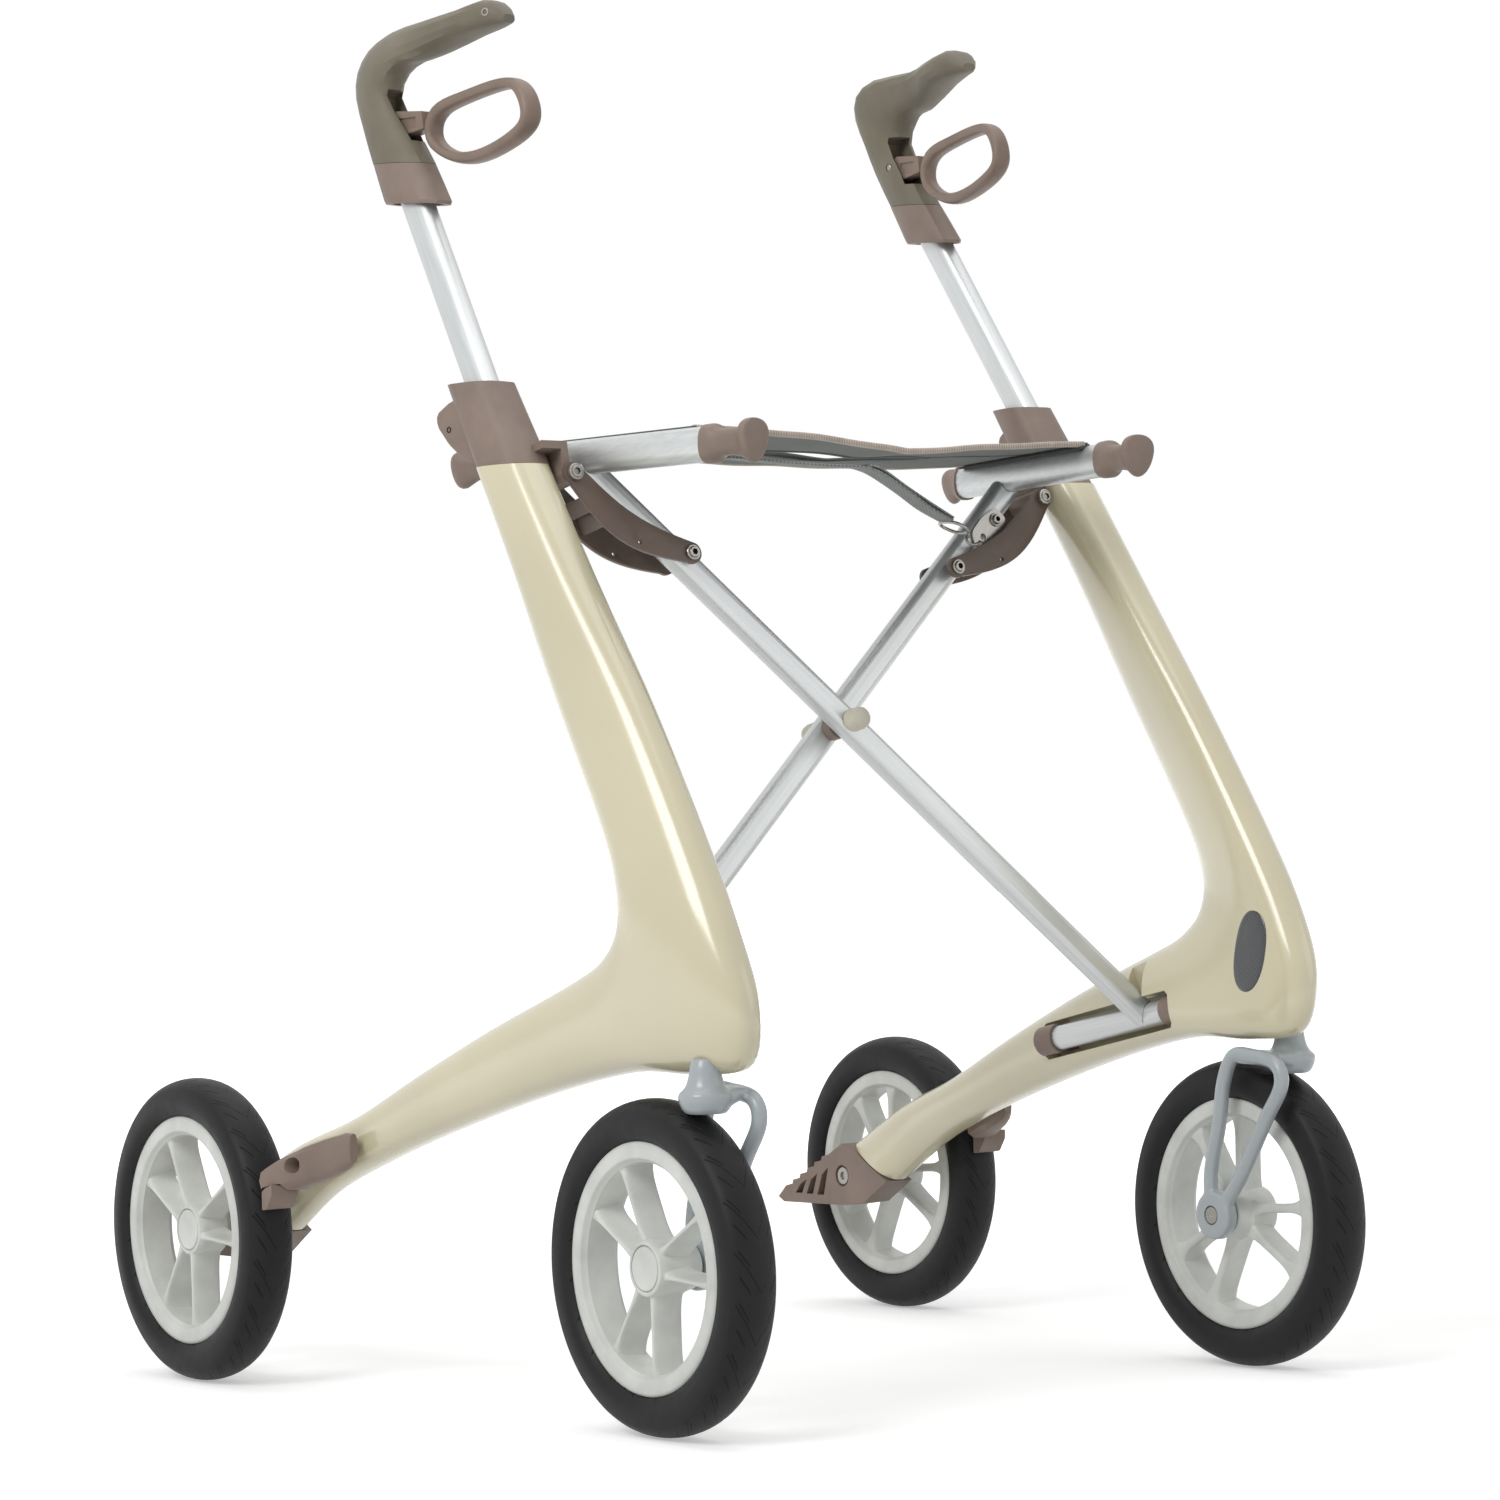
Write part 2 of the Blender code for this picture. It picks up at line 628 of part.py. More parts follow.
def build_side_frame(side):
    """One-piece moulded side: leaning leg, caster nose and swept rear arm."""
    sign = SIDES[side]
    body = side + "_frame"
    rows = smooth_through(FRAME_STATIONS, [2, 2, 2, 2, 2, 2, 2, 2, 1, 2, 2, 1, 1])
    frame = add(side + "_side_frame", loft("frame", [frame_ring(row) for row in rows], sign),
                "frame", body)
    # Recess along the inner face, in which the lower tube and its bearings lie
    low, high = bearing_span("rear")[0] - 0.004, bearing_span("front")[1] + GAP
    half = BEARING_HEIGHT / 2 + 0.0022
    depth = PIVOT_HALF_SPAN + BEARING_SEAT + GAP
    outline = rounded([(low, -half), (high, -half), (high, half), (low, half)], 0.002, 2)

    def in_recess(t, v, u):
        return fold_point(u, v - PIVOT_DROP, t)

    recess = extrude_outline("recess", outline, (0.17, depth), in_recess, sign)
    combine(frame, helper(side + "_recess", recess))
    # Slot above the recess, in which the strut's foot swings when the walker folds
    steepest = math.atan2(PIVOT_DROP, PIVOT_HALF_SPAN) + math.radians(FOLD_TRAVEL)
    along = Vector((-math.cos(steepest), math.sin(steepest)))
    outside = Vector((math.sin(steepest), math.cos(steepest))) * (STRUT_WIDTH / 2 + RUNNING)
    fan = [tuple(outside), tuple(outside + along * 0.07), (-0.05, 0.07), (-0.05, -0.006), (0, -0.006)]
    plane = STRUT_PLANE[side]
    room = STRUT_DEPTH / 2 + RUNNING

    def in_slot(a, b, t):
        return fold_point(PIVOT_HALF_SPAN + a, b - PIVOT_DROP, t)

    slot = extrude_outline("slot", fan, (plane - room, plane + room), in_slot, sign)
    combine(frame, helper(side + "_foot_slot", slot))
    # Bore of the leg, in which the handle tube telescopes
    lowest = handle_at(COLLAR_TOP) - HANDLE_DIR * BORE_BELOW_COLLAR
    bore = [handle_ring(p, handle_section(0.0009, False)) for p in (lowest, handle_at(LEG_TOP + 0.03))]
    combine(frame, helper(side + "_leg_bore", loft("leg_bore", bore, sign)))
    socket = rod_profile(STEM_RADIUS + RUNNING, 0.15, STEM_TOP + 0.002)
    combine(frame, turned_helper(side + "_stem_socket", socket, flip(STEM, sign), (0, 0, 1), 20))
    return frame


def build_collar(side):
    """Moulded bracket that caps the leg, guides the handle tube and carries the link's ear."""
    sign = SIDES[side]
    body = side + "_frame"
    back, across = yawed(10.5)
    rows = smooth_through([
        (0.2222, -0.0643, LEG_TOP + GAP, 0.0232, 0.0178),
        (0.2214, -0.0455, 0.6140, 0.0220, 0.0174),
        (0.2206, -0.0269, COLLAR_TOP, 0.0208, 0.0170),
    ], 2)
    rings = [ring((x, y, z), back, across, power_oval(a, b, 16, 3)) for x, y, z, a, b in rows]
    collar = add(side + "_top_collar", loft("collar", rings, sign), "taupe", body)
    # Faceted block behind, which holds the height lock
    block = rounded([(-0.030, 0.6330), (-0.0130, 0.6310), (-0.0005, 0.6240), (-0.0010, 0.6160),
                     (-0.0110, 0.6040), (-0.0230, 0.5945), (-0.0420, 0.5900)], 0.002, 1)

    def behind(y, z, x):
        return Vector((x + (y + 0.045) * math.tan(math.radians(10.5)), y, z))

    lock = extrude_outline("lock_block", block, (0.2125, 0.2300), behind, sign)
    combine(collar, soften(helper(side + "_lock_block", lock), 0.0025, 1), "UNION")
    # Ear for the link's upper bolt, with the bridge that ties it to the collar
    plane = LINK_PLANE[side]
    half = LINK_GAP / 2 - GAP
    u, v = LINK_TOP
    clear = LEG_TOP + 0.0008 + 0.0045  # above the leg all along the tilted ear
    shoulder = (clear - CROSS_PIVOT.z) / FOLD_UP.z
    ear_out = [(u + EAR_RADIUS * math.cos(math.radians(a)), v + EAR_RADIUS * math.sin(math.radians(a)))
               for a in range(-270, 1, 30)]
    ear_out += [(u + 0.0050, v + 0.0043), (u + 0.0050, shoulder), (u + 0.0190, shoulder),
                (u + 0.0190, shoulder + 0.0050), (u, shoulder + 0.0050)]
    ear = extrude_outline("ear", ear_out, (plane - half, plane + half), fold_point, sign)
    combine(collar, helper(side + "_ear", ear), "UNION")
    top_u, top_v = LINK_TOP
    bolt_hole = turned_helper(side + "_ear_bore", rod_profile(SCREW_RADIUS + GAP, -0.02, 0.02),
                              fold_point(top_u * sign, top_v, plane), FOLD_AXIS, 12)
    combine(collar, bolt_hole)
    guide = [handle_ring(handle_at(z), handle_section(GAP * 1.5, False)) for z in (0.55, 0.70)]
    combine(collar, helper(side + "_guide", loft("guide", guide, sign)))
    return collar


def build_bearings(side):
    """Blocks at both ends of the lower tube, D-shaped and bored for its spigots."""
    sign = SIDES[side]
    half = BEARING_HEIGHT / 2
    for which in ("front", "rear"):
        start, end = bearing_span(which)
        nose = [(-half * math.cos(math.radians(a)), half * math.sin(math.radians(a)))
                for a in range(-75, 90, 15)]
        outline = nose + rounded([(BEARING_SEAT, half), (BEARING_SEAT, -half)], 0.002, 1)
        outline = [(PIVOT_HALF_SPAN + a, b - PIVOT_DROP) for a, b in outline]
        mesh = extrude_outline("bearing", outline, (start, end), fold_point, sign)
        block = add(f"{side}_bearing_{which}", mesh, "taupe", side + "_frame")
        bore = turned_helper(f"{side}_bore_{which}", rod_profile(SPIGOT_RADIUS + GAP, -0.2, 0.2),
                             LOWER_PIVOT[side], FOLD_AXIS, 16)
        combine(block, bore)


def build_lower_tube(side):
    """Pivot tube at the foot of a strut, with a spigot in each bearing."""
    front, rear = bearing_span("front"), bearing_span("rear")
    tip_front, tip_rear = front[1] - 0.009, rear[0] + 0.005
    profile = [
        (0, tip_front), (SPIGOT_RADIUS, tip_front), (SPIGOT_RADIUS, LOWER_TUBE_FRONT),
        (LOWER_TUBE_RADIUS, LOWER_TUBE_FRONT), (LOWER_TUBE_RADIUS, -LOWER_TUBE_REAR),
        (SPIGOT_RADIUS, -LOWER_TUBE_REAR), (SPIGOT_RADIUS, tip_rear), (0, tip_rear),
    ]
    turned(side + "_lower_tube", profile, "aluminium", side + "_strut", LOWER_PIVOT[side], FOLD_AXIS, 16)


def rail_rings(sign, grow, from_y, to_y):
    toe = math.radians(RAIL_TOE)
    across = Vector((math.cos(toe) * sign, -math.sin(toe), 0))
    outline = power_oval(RAIL_WIDTH / 2 + grow, RAIL_HEIGHT / 2 + grow, 16, 2.5)
    return [ring(rail_point(y, sign), across, Vector((0, 0, 1)), outline) for y in (from_y, to_y)]


def build_strut(side):
    """Square-section strut from its lower tube up to the opposite seat rail."""
    sign = SIDES[side]
    body = side + "_strut"
    plane = STRUT_PLANE[side]
    run = Vector((-sign * PIVOT_HALF_SPAN, PIVOT_DROP)).normalized()
    along = ACROSS * run.x + FOLD_UP * run.y
    square = along.cross(FOLD_AXIS).normalized()
    rail_u = RAIL_AT.x + 0.0035
    reach = rail_u / abs(run.x)
    start = fold_point(sign * PIVOT_HALF_SPAN, -PIVOT_DROP, plane)
    end = fold_point(run.x * reach, run.y * reach, plane)
    outline = power_oval(STRUT_DEPTH / 2, STRUT_WIDTH / 2, 16, 3.2)
    mesh = loft("strut", [ring(p, FOLD_AXIS, square, outline) for p in (start, end)])
    strut = add(side + "_cross_strut", mesh, "aluminium", body)
    foot_room = turned_helper(side + "_foot_room",
                              rod_profile(LOWER_TUBE_RADIUS + GAP, -LOWER_TUBE_REAR, LOWER_TUBE_FRONT),
                              LOWER_PIVOT[side], FOLD_AXIS, 16)
    rail_room = helper(side + "_rail_room",
                       loft("rail_room", rail_rings(-sign, GAP, RAIL_FRONT_Y, RAIL_REAR_Y)))
    pin_room = turned_helper(side + "_pin_room", rod_profile(0.0048 + GAP, -0.04, 0.04),
                             CROSS_PIVOT, FOLD_AXIS, 16)
    for shape in (foot_room, rail_room, pin_room):
        combine(strut, shape)
    return strut


def build_cross_pivot():
    """Pin, spacer and the two dome caps on the cross."""
    body = "right_strut"
    half = STRUT_DEPTH / 2
    front = STRUT_OFFSET + half + GAP
    pin = rod_profile(0.0048, -front - 0.006, front + 0.006, 0.0006)
    turned("cross_pivot_pin", pin, "steel", body, CROSS_PIVOT, FOLD_AXIS, 16)
    spacer_half = STRUT_OFFSET - half - GAP
    spacer = [(0.0085, spacer_half), (0.0085, -spacer_half),
              (0.0048 + GAP, -spacer_half), (0.0048 + GAP, spacer_half)]
    turned("pivot_spacer", spacer, "taupe", body, CROSS_PIVOT, FOLD_AXIS, 16)
    for name, way in (("front", 1), ("rear", -1)):
        dome = [(0, 0.0122), (0.0046, 0.0118), (0.0068, 0.0102), (0.0075, 0.0070), (0.0075, 0),
                (0.0048 + GAP, 0), (0.0048 + GAP, 0.0064), (0, 0.0064)]
        turned("pivot_cap_" + name, dome, "rim", body, CROSS_PIVOT + FOLD_AXIS * way * front,
               FOLD_AXIS * way, 16)


def cap_rings(sign, stations):
    """Rings of a rail cap: y, half width, half height, shift outboard and section power."""
    rings = []
    toe = math.radians(RAIL_TOE)
    across = Vector((math.cos(toe) * sign, -math.sin(toe), 0))
    for y, half_w, half_h, shift, power in stations:
        centre = rail_point(y, sign) + across * shift
        rings.append(ring(centre, across, Vector((0, 0, 1)), power_oval(half_w, half_h, 12, power)))
    return rings


def build_rail(side):
    """Seat rail tube with a button cap at each end; it rides on the other side's strut."""
    sign = SIDES[side]
    body = OTHER[side] + "_strut"
    outer = rail_rings(sign, 0, RAIL_FRONT_Y, RAIL_REAR_Y)
    inner = rail_rings(sign, -RAIL_WALL, RAIL_FRONT_Y, RAIL_REAR_Y)
    add(side + "_seat_rail", hollow_loft("rail", outer, inner), "aluminium", body)
    w, h = RAIL_WIDTH / 2, RAIL_HEIGHT / 2
    plug_w, plug_h = w - RAIL_WALL - GAP, h - RAIL_WALL - GAP
    f, r = RAIL_FRONT_Y - GAP, RAIL_REAR_Y + GAP
    front = [
        (f + 0.020, plug_w, plug_h, 0, 2.5), (f, plug_w, plug_h, 0, 2.5), (f, w + 0.0010, h + 0.0010, 0, 2.5),
        (f - 0.0050, w + 0.0012, h + 0.0010, 0, 2.5), (f - 0.0090, 0.0086, 0.0094, 0, 2.3),
        (f - 0.0160, 0.0084, 0.0090, 0, 2.1), (f - 0.0200, 0.0112, 0.0114, 0.0004, 2.1),
        (f - 0.0340, 0.0120, 0.0121, 0.0008, 2.2), (f - 0.0390, 0.0116, 0.0119, 0.0010, 2.2),
        (f - 0.0415, 0.0092, 0.0100, 0.0010, 2.1),
    ]
    rear = [
        (r - 0.018, plug_w, plug_h, 0, 2.5), (r, plug_w, plug_h, 0, 2.5), (r, w + 0.0010, h + 0.0010, 0, 2.5),
        (r + 0.0045, w + 0.0006, h + 0.0008, 0.0006, 2.4), (r + 0.0090, 0.0076, 0.0082, 0.0020, 2.0),
        (r + 0.0190, 0.0076, 0.0082, 0.0042, 2.0), (r + 0.0225, 0.0096, 0.0106, 0.0056, 2.0),
        (r + 0.0290, 0.0102, 0.0112, 0.0062, 2.0), (r + 0.0325, 0.0082, 0.0094, 0.0064, 2.0),
    ]
    add(side + "_rail_cap_front", loft("cap", cap_rings(sign, front)), "taupe", body)
    add(side + "_rail_cap_rear", loft("cap", cap_rings(sign, rear)), "taupe", body)


def link_outline(top, foot, bulge, ear=LINK_EAR, waist=0.0100, turns=5):
    """Banana outline round two pivots, sagging to the side that bulge points to."""
    top, foot = Vector(top), Vector(foot)
    run = foot - top
    normal = Vector((run.y, -run.x)).normalized() * bulge
    middle, flank = [], []
    for k in range(turns + 1):
        x = k / turns
        arch = math.sin(math.pi * x)
        middle.append(top + run * x + normal * LINK_SAG * arch)
        flank.append(ear + (waist - ear) * arch)
    upper = [p - normal * w for p, w in zip(middle, flank)]
    lower = [p + normal * w for p, w in zip(middle, flank)]
    way = run.normalized()
    foot_end = [foot + (way * math.sin(a) - normal * math.cos(a)) * ear
                for a in (math.radians(d) for d in (45, 90, 135))]
    top_end = [top + (-way * math.sin(a) + normal * math.cos(a)) * ear
               for a in (math.radians(d) for d in (45, 90, 135))]
    return [tuple(p) for p in upper + foot_end + lower[::-1] + top_end]


def build_link(side):
    """Folding brace: two curved plates joined by ribs, astride the strut."""
    sign = SIDES[side]
    body = side + "_link"
    plane = LINK_PLANE[side]
    slope = math.atan2(PIVOT_DROP, PIVOT_HALF_SPAN)
    top = LINK_TOP
    foot = (LINK_FOOT * math.cos(slope), LINK_FOOT * math.sin(slope))
    inner = LINK_GAP / 2
    outer = inner + LINK_PLATE
    outline = link_outline(top, foot, -1)
    front = extrude_outline("plate", outline, (plane + inner, plane + outer), fold_point, sign)
    link = add(side + "_fold_link", front, "dark_taupe", body)
    rear = extrude_outline("plate", outline, (plane - outer, plane - inner), fold_point, sign)
    combine(link, helper(side + "_rear_plate", rear), "UNION")
    run = Vector(foot) - Vector(top)
    normal = Vector((run.y, -run.x)).normalized() * -1
    for number, share in enumerate((0.20, 0.33)):
        middle = Vector(top) + run * share + normal * (LINK_SAG * math.sin(math.pi * share) + 0.0035)
        lean = (run.normalized() + normal * 0.8).normalized()
        across = Vector((lean.y, -lean.x))
        rib = [middle + lean * a + across * b for a, b in
               ((-0.0055, -0.001), (0.0055, -0.001), (0.0055, 0.001), (-0.0055, 0.001))]
        span = (plane - inner - 0.001, plane + inner + 0.001)
        mesh = extrude_outline("rib", [tuple(p) for p in rib], span, fold_point, sign)
        combine(link, helper(f"{side}_rib_{number}", mesh), "UNION")
    hole = turned_helper(side + "_link_bore", rod_profile(SCREW_RADIUS + GAP, -0.03, 0.03),
                         fold_point(top[0] * sign, top[1], plane), FOLD_AXIS, 12)
    combine(link, hole)
    for number, way in enumerate((1, -1)):
        head = turned_helper(f"{side}_foot_screw_{number}",
                             rod_profile(0.0050, outer - 0.0010, outer + 0.0008),
                             fold_point(foot[0] * sign, foot[1], plane), FOLD_AXIS * way, 12)
        combine(link, head, "UNION")
    reach = outer + GAP
    bolt = [(0, reach + 0.0030), (0.0046, reach + 0.0030), (0.0052, reach + 0.0024), (0.0052, reach),
            (SCREW_RADIUS, reach), (SCREW_RADIUS, -reach), (0.0050, -reach),
            (0.0050, -reach - 0.0026), (0, -reach - 0.0026)]
    turned(side + "_link_bolt", bolt, "steel", side + "_frame",
           fold_point(top[0] * sign, top[1], plane), FOLD_AXIS, 12)


# Grip: rows of rear or upper edge, front or lower edge (y, z), middle x, half thickness, yaw
GRIP_STATIONS = [
    (0.0989, 0.7966, 0.0486, 0.7922, 0.2114, 0.0128, 9.5),
    (0.1126, 0.8209, 0.0671, 0.8162, 0.2111, 0.0131, 5.0),
    (0.1223, 0.8429, 0.0846, 0.8404, 0.2113, 0.0128, -5.0),
    (0.1266, 0.8613, 0.0770, 0.8548, 0.2086, 0.0141, -9.0),
    (0.1185, 0.8768, 0.0665, 0.8591, 0.2045, 0.0154, -11.0),
    (0.0949, 0.8854, 0.0545, 0.8598, 0.2028, 0.0155, -15.0),
    (0.0543, 0.8854, 0.0401, 0.8632, 0.2015, 0.0164, -9.0),
    (0.0224, 0.8879, 0.0205, 0.8695, 0.1945, 0.0165, 5.0),
    (-0.0010, 0.8914, -0.0010, 0.8722, 0.1900, 0.0135, 9.0),
    (-0.0115, 0.8868, -0.0112, 0.8732, 0.1888, 0.0098, 8.0),
    (-0.0185, 0.8798, -0.0182, 0.8742, 0.1880, 0.0048, 8.0),
]
GRIP_TUBE_END = 0.7985
LEVER_PIVOT = Vector((0.2085, 0.0860, 0.8225))
LEVER_SLOPE = 0.128  # how much the lever's plane moves out for each unit to the rear
LEVER_WIDTH = 0.013
PIN_RADIUS = 0.0025


def build_handle(side):
    """Telescoping tube, its sleeve and the grip with the pocket of the brake lever."""
    sign = SIDES[side]
    body = side + "_handle"
    low = handle_at(COLLAR_TOP) - HANDLE_DIR * TUBE_BELOW_COLLAR
    top = handle_at(GRIP_TUBE_END)
    tube = [handle_ring(p, handle_section()) for p in (low, top)]
    add(side + "_handle_tube", loft("tube", tube, sign), "aluminium", body)
    room = [handle_ring(p, handle_section(2 * GAP, False)) for p in
            (handle_at(0.74), top + HANDLE_DIR * GAP)]
    sleeve_rows = smooth_through([
        (0.0818, 0.7682, 0.0296, 0.7632, 0.2126, 0.0132, 9.0),
        (0.0834, 0.7706, 0.0290, 0.7654, 0.2126, 0.0140, 9.0),
        (0.0987, 0.7963, 0.0484, 0.7919, 0.2114, 0.0128, 9.5),
    ], [1, 2])
    sleeve = add(side + "_handle_sleeve",
                 loft("sleeve", [frame_ring(row) for row in sleeve_rows], sign), "taupe", body)
    combine(sleeve, helper(side + "_sleeve_bore", loft("bore", room, sign)))
    back, across = yawed(9.0)
    opening = power_oval(TUBE_CHORD / 2 + 0.0085, TUBE_THICKNESS / 2 + 0.0030, 18, 2.8)
    mouth = [ring(handle_at(z), back, across, opening) for z in (0.7500, 0.7690)]
    combine(sleeve, helper(side + "_sleeve_mouth",
                           loft("mouth", [[flip(p, sign) for p in r] for r in mouth])))
    rows = smooth_through(GRIP_STATIONS, 2)
    grip = add(side + "_handle_grip", loft("grip", [frame_ring(row, 14) for row in rows], sign),
               "grip", body)
    combine(grip, helper(side + "_grip_bore", loft("bore", room, sign)))
    pocket = rounded([(0.0400, 0.8080), (0.0700, 0.8085), (0.0930, 0.8110), (0.0985, 0.8300),
                      (0.0970, 0.8440), (0.0700, 0.8455), (0.0400, 0.8470)], 0.003, 1)

    def in_plane(y, z, c):
        return Vector((lever_x(y) + c, y, z))

    shape = extrude_outline("pocket", pocket, (-0.0078, 0.0078), in_plane, sign)
    combine(grip, helper(side + "_pocket", shape))
    axis = Vector((sign, -LEVER_SLOPE, 0))
    pin_room = turned_helper(side + "_pin_bore", rod_profile(PIN_RADIUS + GAP, -0.03, 0.0122),
                             flip(LEVER_PIVOT, sign), axis, 12)
    combine(grip, pin_room)
    pin = rod_profile(PIN_RADIUS, -0.0102, 0.0116, 0.0004)
    turned(side + "_lever_pin", pin, "steel", body, flip(LEVER_PIVOT, sign), axis, 12)
    return grip


def lever_x(y):
    """Middle plane of the brake lever, which follows the toe-in of the grip."""
    return LEVER_PIVOT.x + (y - LEVER_PIVOT.y) * LEVER_SLOPE


# Brake lever loop: outer point and inner point (y, z), half width across
LEVER_LOOP = [
    (0.0555, 0.8290, 0.0470, 0.8210, 0.0066), (0.0160, 0.8345, 0.0160, 0.8268, 0.0060),
    (-0.0215, 0.8385, -0.0250, 0.8308, 0.0060), (-0.0430, 0.8320, -0.0370, 0.8250, 0.0064),
    (-0.0515, 0.8125, -0.0430, 0.8110, 0.0070), (-0.0420, 0.7985, -0.0360, 0.8045, 0.0072),
    (-0.0140, 0.7895, -0.0110, 0.7970, 0.0068), (0.0130, 0.7865, 0.0140, 0.7950, 0.0064),
    (0.0380, 0.7945, 0.0340, 0.8000, 0.0062), (0.0565, 0.8095, 0.0500, 0.8125, 0.0066),
]


def build_lever(side):
    """Brake lever: a closed finger loop on a neck that enters the grip."""
    sign = SIDES[side]
    body = side + "_lever"
    closed = [LEVER_LOOP[-1]] + LEVER_LOOP + LEVER_LOOP[:2]
    rows = smooth_through(closed, 2)[2:-3]
    rings = []
    for y0, z0, y1, z1, half in rows:
        outer = Vector((lever_x(y0), y0, z0))
        inner = Vector((lever_x(y1), y1, z1))
        chord = (outer - inner) / 2
        rings.append(ring((outer + inner) / 2, chord.normalized(), ACROSS,
                          power_oval(chord.length, half, 8, 2.6)))
    lever = add(side + "_brake_lever", loft("lever", rings, sign, closed=True), "taupe", body)

    def in_plane(y, z, c):
        return Vector((lever_x(y) + c, y, z))

    neck = rounded([(0.0520, 0.8150), (0.0540, 0.8265), (0.0830, 0.8300), (0.0925, 0.8260),
                    (0.0925, 0.8170), (0.0840, 0.8120)], 0.003, 1)
    shape = helper(side + "_neck", extrude_outline("neck", neck, (-0.0058, 0.0058), in_plane, sign))
    combine(lever, shape, "UNION")
    hollow = rounded([(0.0600, 0.8165), (0.0600, 0.8235), (0.0780, 0.8245), (0.0780, 0.8165)], 0.001, 1)
    inset = helper(side + "_neck_panel",
                   extrude_outline("panel", hollow, (0.0046, 0.008), in_plane, sign))
    combine(lever, inset)
    bore = turned_helper(side + "_lever_bore", rod_profile(PIN_RADIUS + GAP, -0.03, 0.03),
                         flip(LEVER_PIVOT, sign), Vector((sign, -LEVER_SLOPE, 0)), 12)
    combine(lever, bore)
    return lever


PEDAL_INNER, PEDAL_OUTER = 0.2405, 0.2640
TOOTH = 0.0022


def build_pedal(side):
    """Tipping pedal behind the rear wheel's axle, ribbed on top, with slanted pockets."""
    sign = SIDES[side]
    body = side + "_frame"
    start, end = Vector((0.2235, 0.1242)), Vector((0.3010, 0.0835))
    run = end - start
    normal = Vector((-run.y, run.x)).normalized()
    teeth = []
    count = 6
    for k in range(count):
        foot = start + run * (0.22 + 0.70 * k / count)
        teeth += [tuple(foot), tuple(foot + run * 0.09 + normal * TOOTH)]
    outline = [(0.1712, 0.0990), (0.2200, 0.1240)] + [tuple(start)] + teeth
    outline += [(0.3035, 0.0812), (0.2965, 0.0776), (0.2200, 0.0790), (0.1990, 0.0820)]

    def plan(y, z, x):
        return Vector((x, y, z - 0.0004))

    pedal = add(side + "_tipping_pedal",
                extrude_outline("pedal", outline, (PEDAL_INNER, PEDAL_OUTER), plan, sign), "taupe", body)
    axle_place = Vector((0, REAR_WHEEL.y, REAR_WHEEL.z))
    inboard_end = REAR_WHEEL.x - 0.0150 - RUNNING
    boss = turned_helper(side + "_pedal_boss", rod_profile(0.0100, PEDAL_OUTER - 0.004, inboard_end),
                         flip(axle_place, sign), (sign, 0, 0), 20)
    combine(pedal, boss, "UNION")
    recess = turned_helper(side + "_pedal_recess", rod_profile(0.0080, 0.2, PEDAL_INNER + 0.0030),
                           flip(axle_place, sign), (sign, 0, 0), 20)
    combine(pedal, recess)
    bore = turned_helper(side + "_pedal_bore", rod_profile(AXLE_RADIUS + GAP, 0.2, 0.3),
                         flip(axle_place, sign), (sign, 0, 0), 16)
    combine(pedal, bore)
    for number in range(3):
        x = 0.2470 + 0.0135 * number
        pocket = [(x, 0.0850), (x + 0.0080, 0.0850), (x + 0.0020, 0.1000 - number * 0.0042),
                  (x - 0.0060, 0.1060 - number * 0.0052)]
        shape = extrude_outline("pedal_pocket", pocket, (0.2, PEDAL_INNER + 0.0070), plan, sign)
        combine(pedal, helper(f"{side}_pedal_pocket_{number}", shape))
    head = PEDAL_INNER + 0.0030 + GAP
    tip = REAR_WHEEL.x + 0.0102 - 0.0040 - GAP
    axle = [(0, tip), (AXLE_RADIUS, tip), (AXLE_RADIUS, head), (0.0062, head),
            (0.0062, head - 0.0022), (0.0030, head - 0.0022), (0.0030, head - 0.0008), (0, head - 0.0008)]
    axle = [(r, h - REAR_WHEEL.x) for r, h in axle]
    axle = [(r, h + (0 if h > -0.04 else -GAP)) for r, h in axle]
    turned(side + "_rear_axle", axle, "steel", body, flip(REAR_WHEEL, sign), (sign, 0, 0), 16)
    return pedal


# Brake housing: y, middle x, half width, middle z, half height
HOUSING_STATIONS = [
    (0.066, 0.2700, 0.0030, 0.1590, 0.0095), (0.071, 0.2722, 0.0055, 0.1570, 0.0118),
    (0.082, 0.2755, 0.0088, 0.1530, 0.0130), (0.098, 0.2800, 0.0128, 0.1475, 0.0130),
    (0.114, 0.2865, 0.0162, 0.1412, 0.0115), (0.124, 0.2935, 0.0130, 0.1375, 0.0088),
]
SHOE_DIR = Vector((0, 0.971, -0.237)).normalized()


